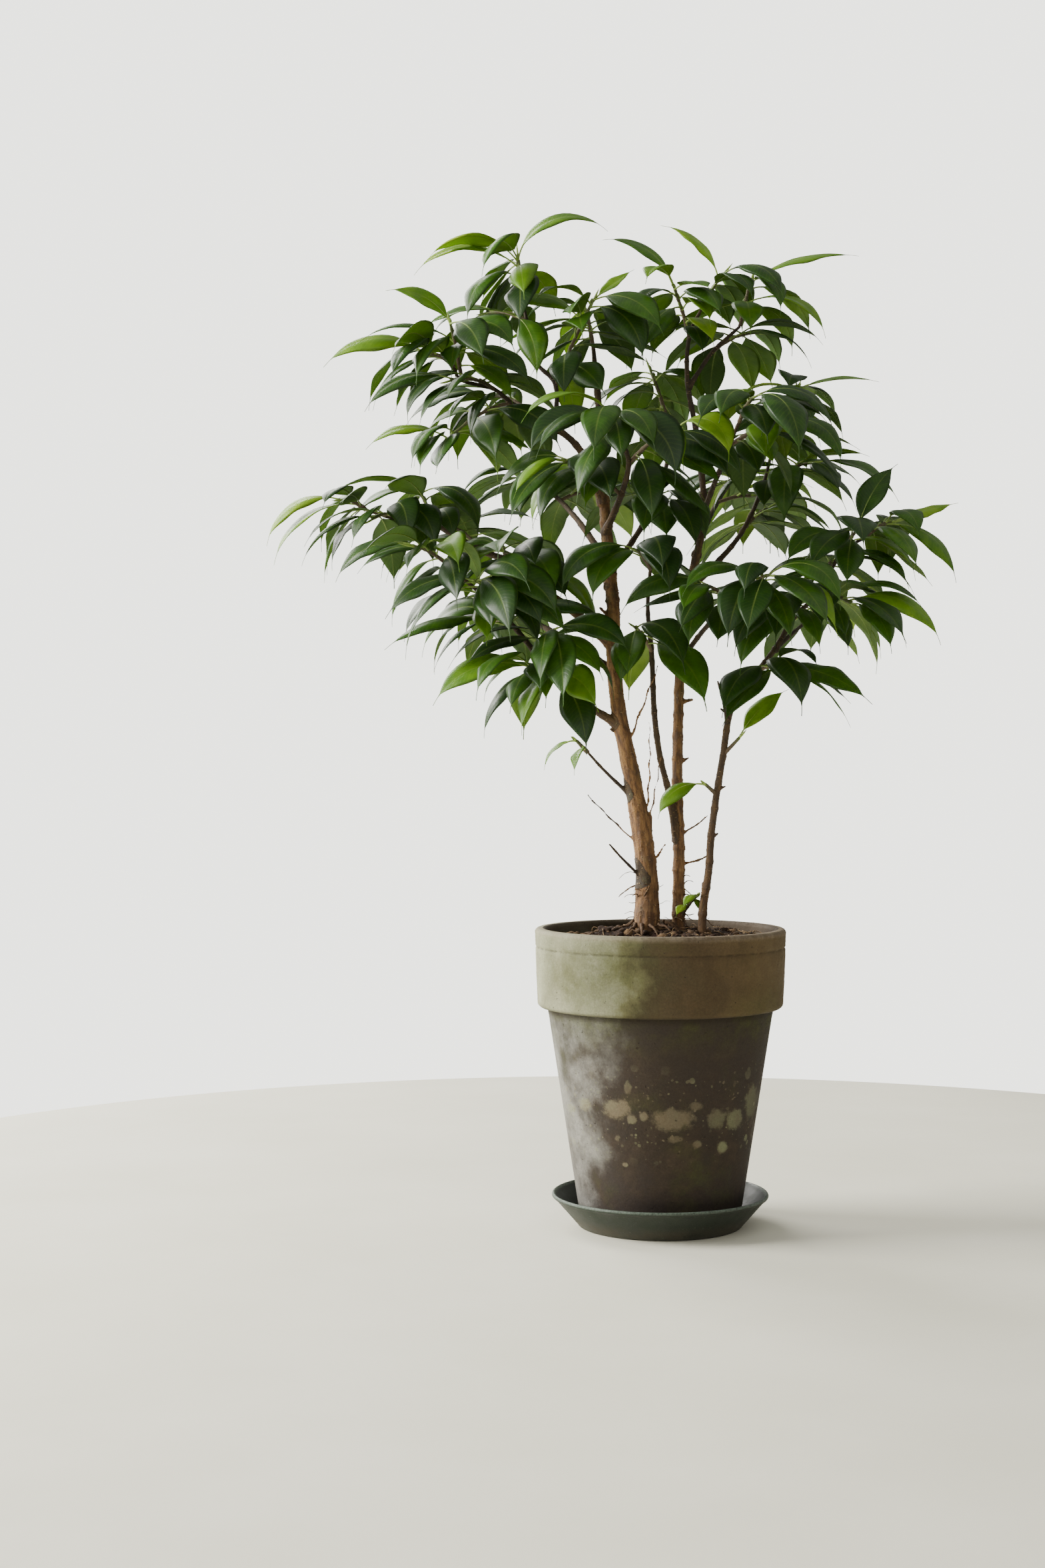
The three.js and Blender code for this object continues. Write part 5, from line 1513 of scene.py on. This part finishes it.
def add_leaf(sketch, leaf, chance, tone):
    """A thin closed blade folded along its midrib, its petiole, and the rib under it."""
    fold = LEAF_FOLD * chance.uniform(0.45, 1.25)
    curl = LEAF_CURL * chance.uniform(0.3, 1.5)
    wave_count = chance.uniform(1.6, 3.0)
    phases = (chance.uniform(0, 6.28), chance.uniform(0, 6.28))
    wave = chance.uniform(0.02, 0.07)
    tip_swing = chance.uniform(-1.0, 1.0) * 0.10 * leaf.half_width
    skew = chance.uniform(-0.05, 0.05)
    luck = chance.random()
    top, under, blades = [], [], []
    sides = [2 * k / LEAF_ACROSS - 1 for k in range(LEAF_ACROSS + 1)]
    for i in range(LEAF_STATIONS + 1):
        t = 0.5 - 0.5 * math.cos(math.pi * (i / LEAF_STATIONS) ** 0.94)
        t = 0.55 * t + 0.45 * i / LEAF_STATIONS
        t = min(t, 1.0)
        point, along, across, up = leaf.frame(leaf.petiole + t * leaf.length)
        reach = max(blade_width(t), 0.022) * leaf.half_width
        sway = tip_swing * t**3 + 0.03 * leaf.half_width * math.sin(2.4 * t + phases[0])
        for side in sides:
            edge = abs(side)
            phase = phases[0] if side < 0 else phases[1]
            ripple = wave * reach * edge**2 * math.sin(2 * math.pi * wave_count * t + phase)
            lift = reach * (fold * (edge - 0.5) - curl * (edge**2 - 0.33)) + ripple
            width = reach * (1 - 0.06 * fold * edge + skew * side)
            spot = point + across * (side * width + sway) + up * lift
            thick = BLADE_THICKNESS * (0.35 + 0.65 * (1 - edge**3)) / 2
            if edge < 0.999:
                groove = 0.10 * math.exp(-((side * reach / 0.6) ** 2))
                top.append(spot + up * (thick - groove))
                under.append(spot - up * thick)
            else:
                top.append(spot)
                under.append(spot)
            blades.append((side, t, luck))
    columns = LEAF_ACROSS + 1
    rows = LEAF_STATIONS + 1
    points = list(top)
    under_index = {}
    blade = list(blades)
    for i in range(rows):
        for k in range(columns):
            index = i * columns + k
            if 0 < k < columns - 1 and 0 < i < rows - 1:
                under_index[index] = len(points)
                points.append(under[index])
                blade.append(blades[index])
            else:
                under_index[index] = index
    upper, lower = [], []
    for i in range(rows - 1):
        for k in range(columns - 1):
            a = i * columns + k
            quad = (a, a + columns, a + columns + 1, a + 1)
            upper.append(quad)
            turned_quad = tuple(under_index[v] for v in (a, a + 1, a + columns + 1, a + columns))
            lower.append(turned_quad)
    shared = [quad for quad in zip(upper, lower) if set(quad[0]) != set(quad[1])]
    start = sketch.count
    sketch.add(points, [q[0] for q in shared], 0, blade, tone)
    sketch.faces += [tuple(v + start for v in q[1]) for q in shared]
    sketch.slots += [1] * len(shared)
    # petiole, with a swollen foot, running on as the rib under the blade
    reach = leaf.petiole + 0.86 * leaf.length
    spots, radii = [], []
    base_way = unit(twig_point(leaf.shoot, min(1, leaf.along + 0.01))
                    - twig_point(leaf.shoot, max(0, leaf.along - 0.01)))
    for i in range(19):
        s = reach * (i / 18) ** 1.25
        point, along, across, up = leaf.frame(s)
        t = max(0.0, (s - leaf.petiole) / leaf.length)
        drop = 0.0
        sway = tip_swing * t**3 + (0.03 * leaf.half_width * math.sin(2.4 * t + phases[0]) if t > 0 else
                                   0.03 * leaf.half_width * math.sin(phases[0]) * s / leaf.petiole)
        if t > 0:
            width = blade_width(t) * leaf.half_width
            drop = width * (-fold * 0.5 + curl * 0.33) - BLADE_THICKNESS * 0.55
            drop *= smooth_step(t / 0.05)
        if t == 0:
            thick = PETIOLE_RADIUS * (1.0 - 0.12 * s / leaf.petiole)
        else:
            thick = PETIOLE_RADIUS * 0.88 * (1 - t) ** 1.1
        thick += 0.5 * math.exp(-s / 1.2)
        spots.append(point + up * drop + across * sway)
        radii.append(max(0.12, thick))
    sketch.add_tube(spots, radii, 8, 2, tone=min(1.0, tone + 0.25))
    # the bud in the leaf's corner
    corner = leaf.frame(1.2)[0] + base_way * 1.4 + UP * 0.5
    sketch.add_tube([corner - base_way * 1.2, corner, corner + base_way * 1.2, corner + base_way * 2.2],
                    [0.5, 0.75, 0.5, 0.12], 8, 2, tone=0.4)


def add_twig(sketch, name, leaves, chance):
    """The shoot's own twig with rings where leaves were, and the pointed bud at its end."""
    size = SHOOTS[name][4]
    steps = 34
    spots, radii = [], []
    knots = [leaf.along for leaf in leaves] + [i / 7 for i in range(7)]
    length = np.linalg.norm(twig_point(name, 1) - twig_point(name, 0))
    for i in range(steps + 1):
        t = i / steps
        radius = TWIG_RADIUS + (TWIG_TIP_RADIUS - TWIG_RADIUS) * t
        for knot in knots:
            radius += 0.2 * math.exp(-(((t - knot) * length / 1.3) ** 2))
        wobble = [noise.noise(Vector((t * length / 11, seed, length))) for seed in (3.5, 8.5, 17.5)]
        wobble = 0.35 * np.array(wobble)
        spots.append(twig_point(name, t) + wobble * min(1.0, 4 * t))
        radii.append(min(radius, 2.0))
    sketch.add_tube(spots, radii, 12, 3, tone=0.0)
    # age along the twig: brown at its foot, green near its tip
    greens = np.repeat(np.linspace(0.0, 1.0, steps + 1) ** 1.6, 12)
    sketch.tone[-1] = greens * (0.9 if size < 1.02 else 0.7)
    way = unit(spots[-1] - spots[-4])
    bud = chance.uniform(8, 13) * min(1.0, size)
    side = unit(np.cross(way, UP + 0.01))
    tip_spots, tip_radii = [], []
    for i in range(10):
        t = i / 9
        bend = side * (0.06 * bud * t * t)
        tip_spots.append(spots[-1] + way * (bud * t - 0.6) + bend + UP * 0.05 * bud * t * t)
        tip_radii.append(max(0.08, 0.95 * (1 - t) ** 0.8 * (0.7 + 1.1 * t)))
    sketch.add_tube(tip_spots, tip_radii, 10, 2, tone=0.95)


def make_shoots(leaves, materials):
    tones = random.Random(71)
    chance = random.Random(72)
    pieces = []
    for name in SHOOTS:
        own = [leaf for leaf in leaves if leaf.shoot == name]
        sketch = Sketch()
        add_twig(sketch, name, own, chance)
        for leaf in own:
            add_leaf(sketch, leaf, chance, leaf_tone(leaf, tones))
        pieces.append(place_piece(sketch.build(name + "_leaves", materials), "foliage", name))
    return pieces


# ------------------------------------------------------------------ camera, floor and light
FLOOR_RADIUS = 720


CAMERA_PLACE = (-0.093, -1.536, 0.317)
CAMERA_DIP = 0.72
CAMERA_LENS = 52.27


def add_camera():
    data = bpy.data.cameras.new("camera")
    data.lens = CAMERA_LENS
    data.sensor_width = 36
    camera = bpy.data.objects.new("camera", data)
    bpy.context.scene.collection.objects.link(camera)
    camera.location = CAMERA_PLACE
    camera.rotation_euler = (math.radians(90 - CAMERA_DIP), 0, 0)
    bpy.context.scene.camera = camera


def add_floor():
    """A pale round tabletop."""
    shade = Shade("pale_floor", roughness=0.7, specular=0.3)
    cloud = shade.noise(160, detail=4)
    shade.set("Base Color", shade.ramp(cloud, [(0.3, 230, 227, 208), (0.7, 238, 235, 218)]))
    shade.set("Normal", shade.bump(shade.noise(6, detail=3), 0.1))
    outline = [(0.0, -40.0)] + stretch((0.0, -40.0), (FLOOR_RADIUS - 8, -40.0), 6)
    outline += quarter(FLOOR_RADIUS - 8, -32, 8, -90, 0)[1:]
    outline += quarter(FLOOR_RADIUS - 8, -8.05, 8, 0, 90)
    outline += stretch(outline[-1], (0.0, -0.05), 12)
    sketch = Sketch()
    turned(sketch, outline, 180, lambda radius, z, angle: 0.0, closed=False)
    weld(sketch.build("floor", [shade.material]))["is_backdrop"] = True


def add_area(name, place, target, size, power, tint=(1.0, 1.0, 1.0)):
    data = bpy.data.lights.new(name, "AREA")
    data.shape = "RECTANGLE"
    data.size, data.size_y = size
    data.energy = power
    data.color = tint
    lamp = bpy.data.objects.new(name, data)
    bpy.context.scene.collection.objects.link(lamp)
    lamp.location = place
    lamp.rotation_euler = (Vector(target) - Vector(place)).to_track_quat("-Z", "Y").to_euler()


def add_light():
    """Window light from the left, a dim room all round, and a bright plain backdrop."""
    world = bpy.data.worlds.new("studio")
    world.use_nodes = True
    tree = world.node_tree
    room = tree.nodes["Background"]
    room.inputs["Color"].default_value = (0.95, 0.94, 0.88, 1)
    room.inputs["Strength"].default_value = 0.50
    backdrop = tree.nodes.new("ShaderNodeBackground")
    backdrop.inputs["Color"].default_value = (0.94, 0.94, 0.875, 1)
    backdrop.inputs["Strength"].default_value = 3.1
    mixer = tree.nodes.new("ShaderNodeMixShader")
    path = tree.nodes.new("ShaderNodeLightPath")
    tree.links.new(path.outputs["Is Camera Ray"], mixer.inputs[0])
    tree.links.new(room.outputs[0], mixer.inputs[1])
    tree.links.new(backdrop.outputs[0], mixer.inputs[2])
    tree.links.new(mixer.outputs[0], tree.nodes["World Output"].inputs["Surface"])
    bpy.context.scene.world = world
    add_area("window", (-2.3, 0.05, 1.15), (0, 0, 0.4), (1.4, 1.6), 165, (1.0, 0.985, 0.93))
    add_area("window_back", (-1.3, 1.9, 1.6), (0, 0, 0.45), (1.5, 1.4), 75, (1.0, 0.985, 0.94))
    add_area("fill", (-0.4, -2.4, 1.5), (0, 0, 0.35), (2.0, 2.0), 12, (1.0, 0.98, 0.93))


# ------------------------------------------------------------------ everything together
add_camera()
roots = root_material()
bark = bark_material()
make_pot(pot_material())
make_saucer(saucer_material())
make_soil(soil_material(), roots)
for stem_name in STEMS:
    make_stem(stem_name, bark)
make_surface_roots(roots)
plan, planned_count = plan_leaves()
make_shoots(plan, [
    leaf_material("leaf_top", True),
    leaf_material("leaf_under", False),
    stalk_material("green_stalk", (158, 184, 84), (92, 112, 52), 0.5),
    twig_material(),
])
print("leaves:", planned_count, "in the frame,", len(plan), "shown")
add_floor()
add_light()

bounds = [[list(corner) for corner in box] for box in (CAD_BOUNDS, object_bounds())]
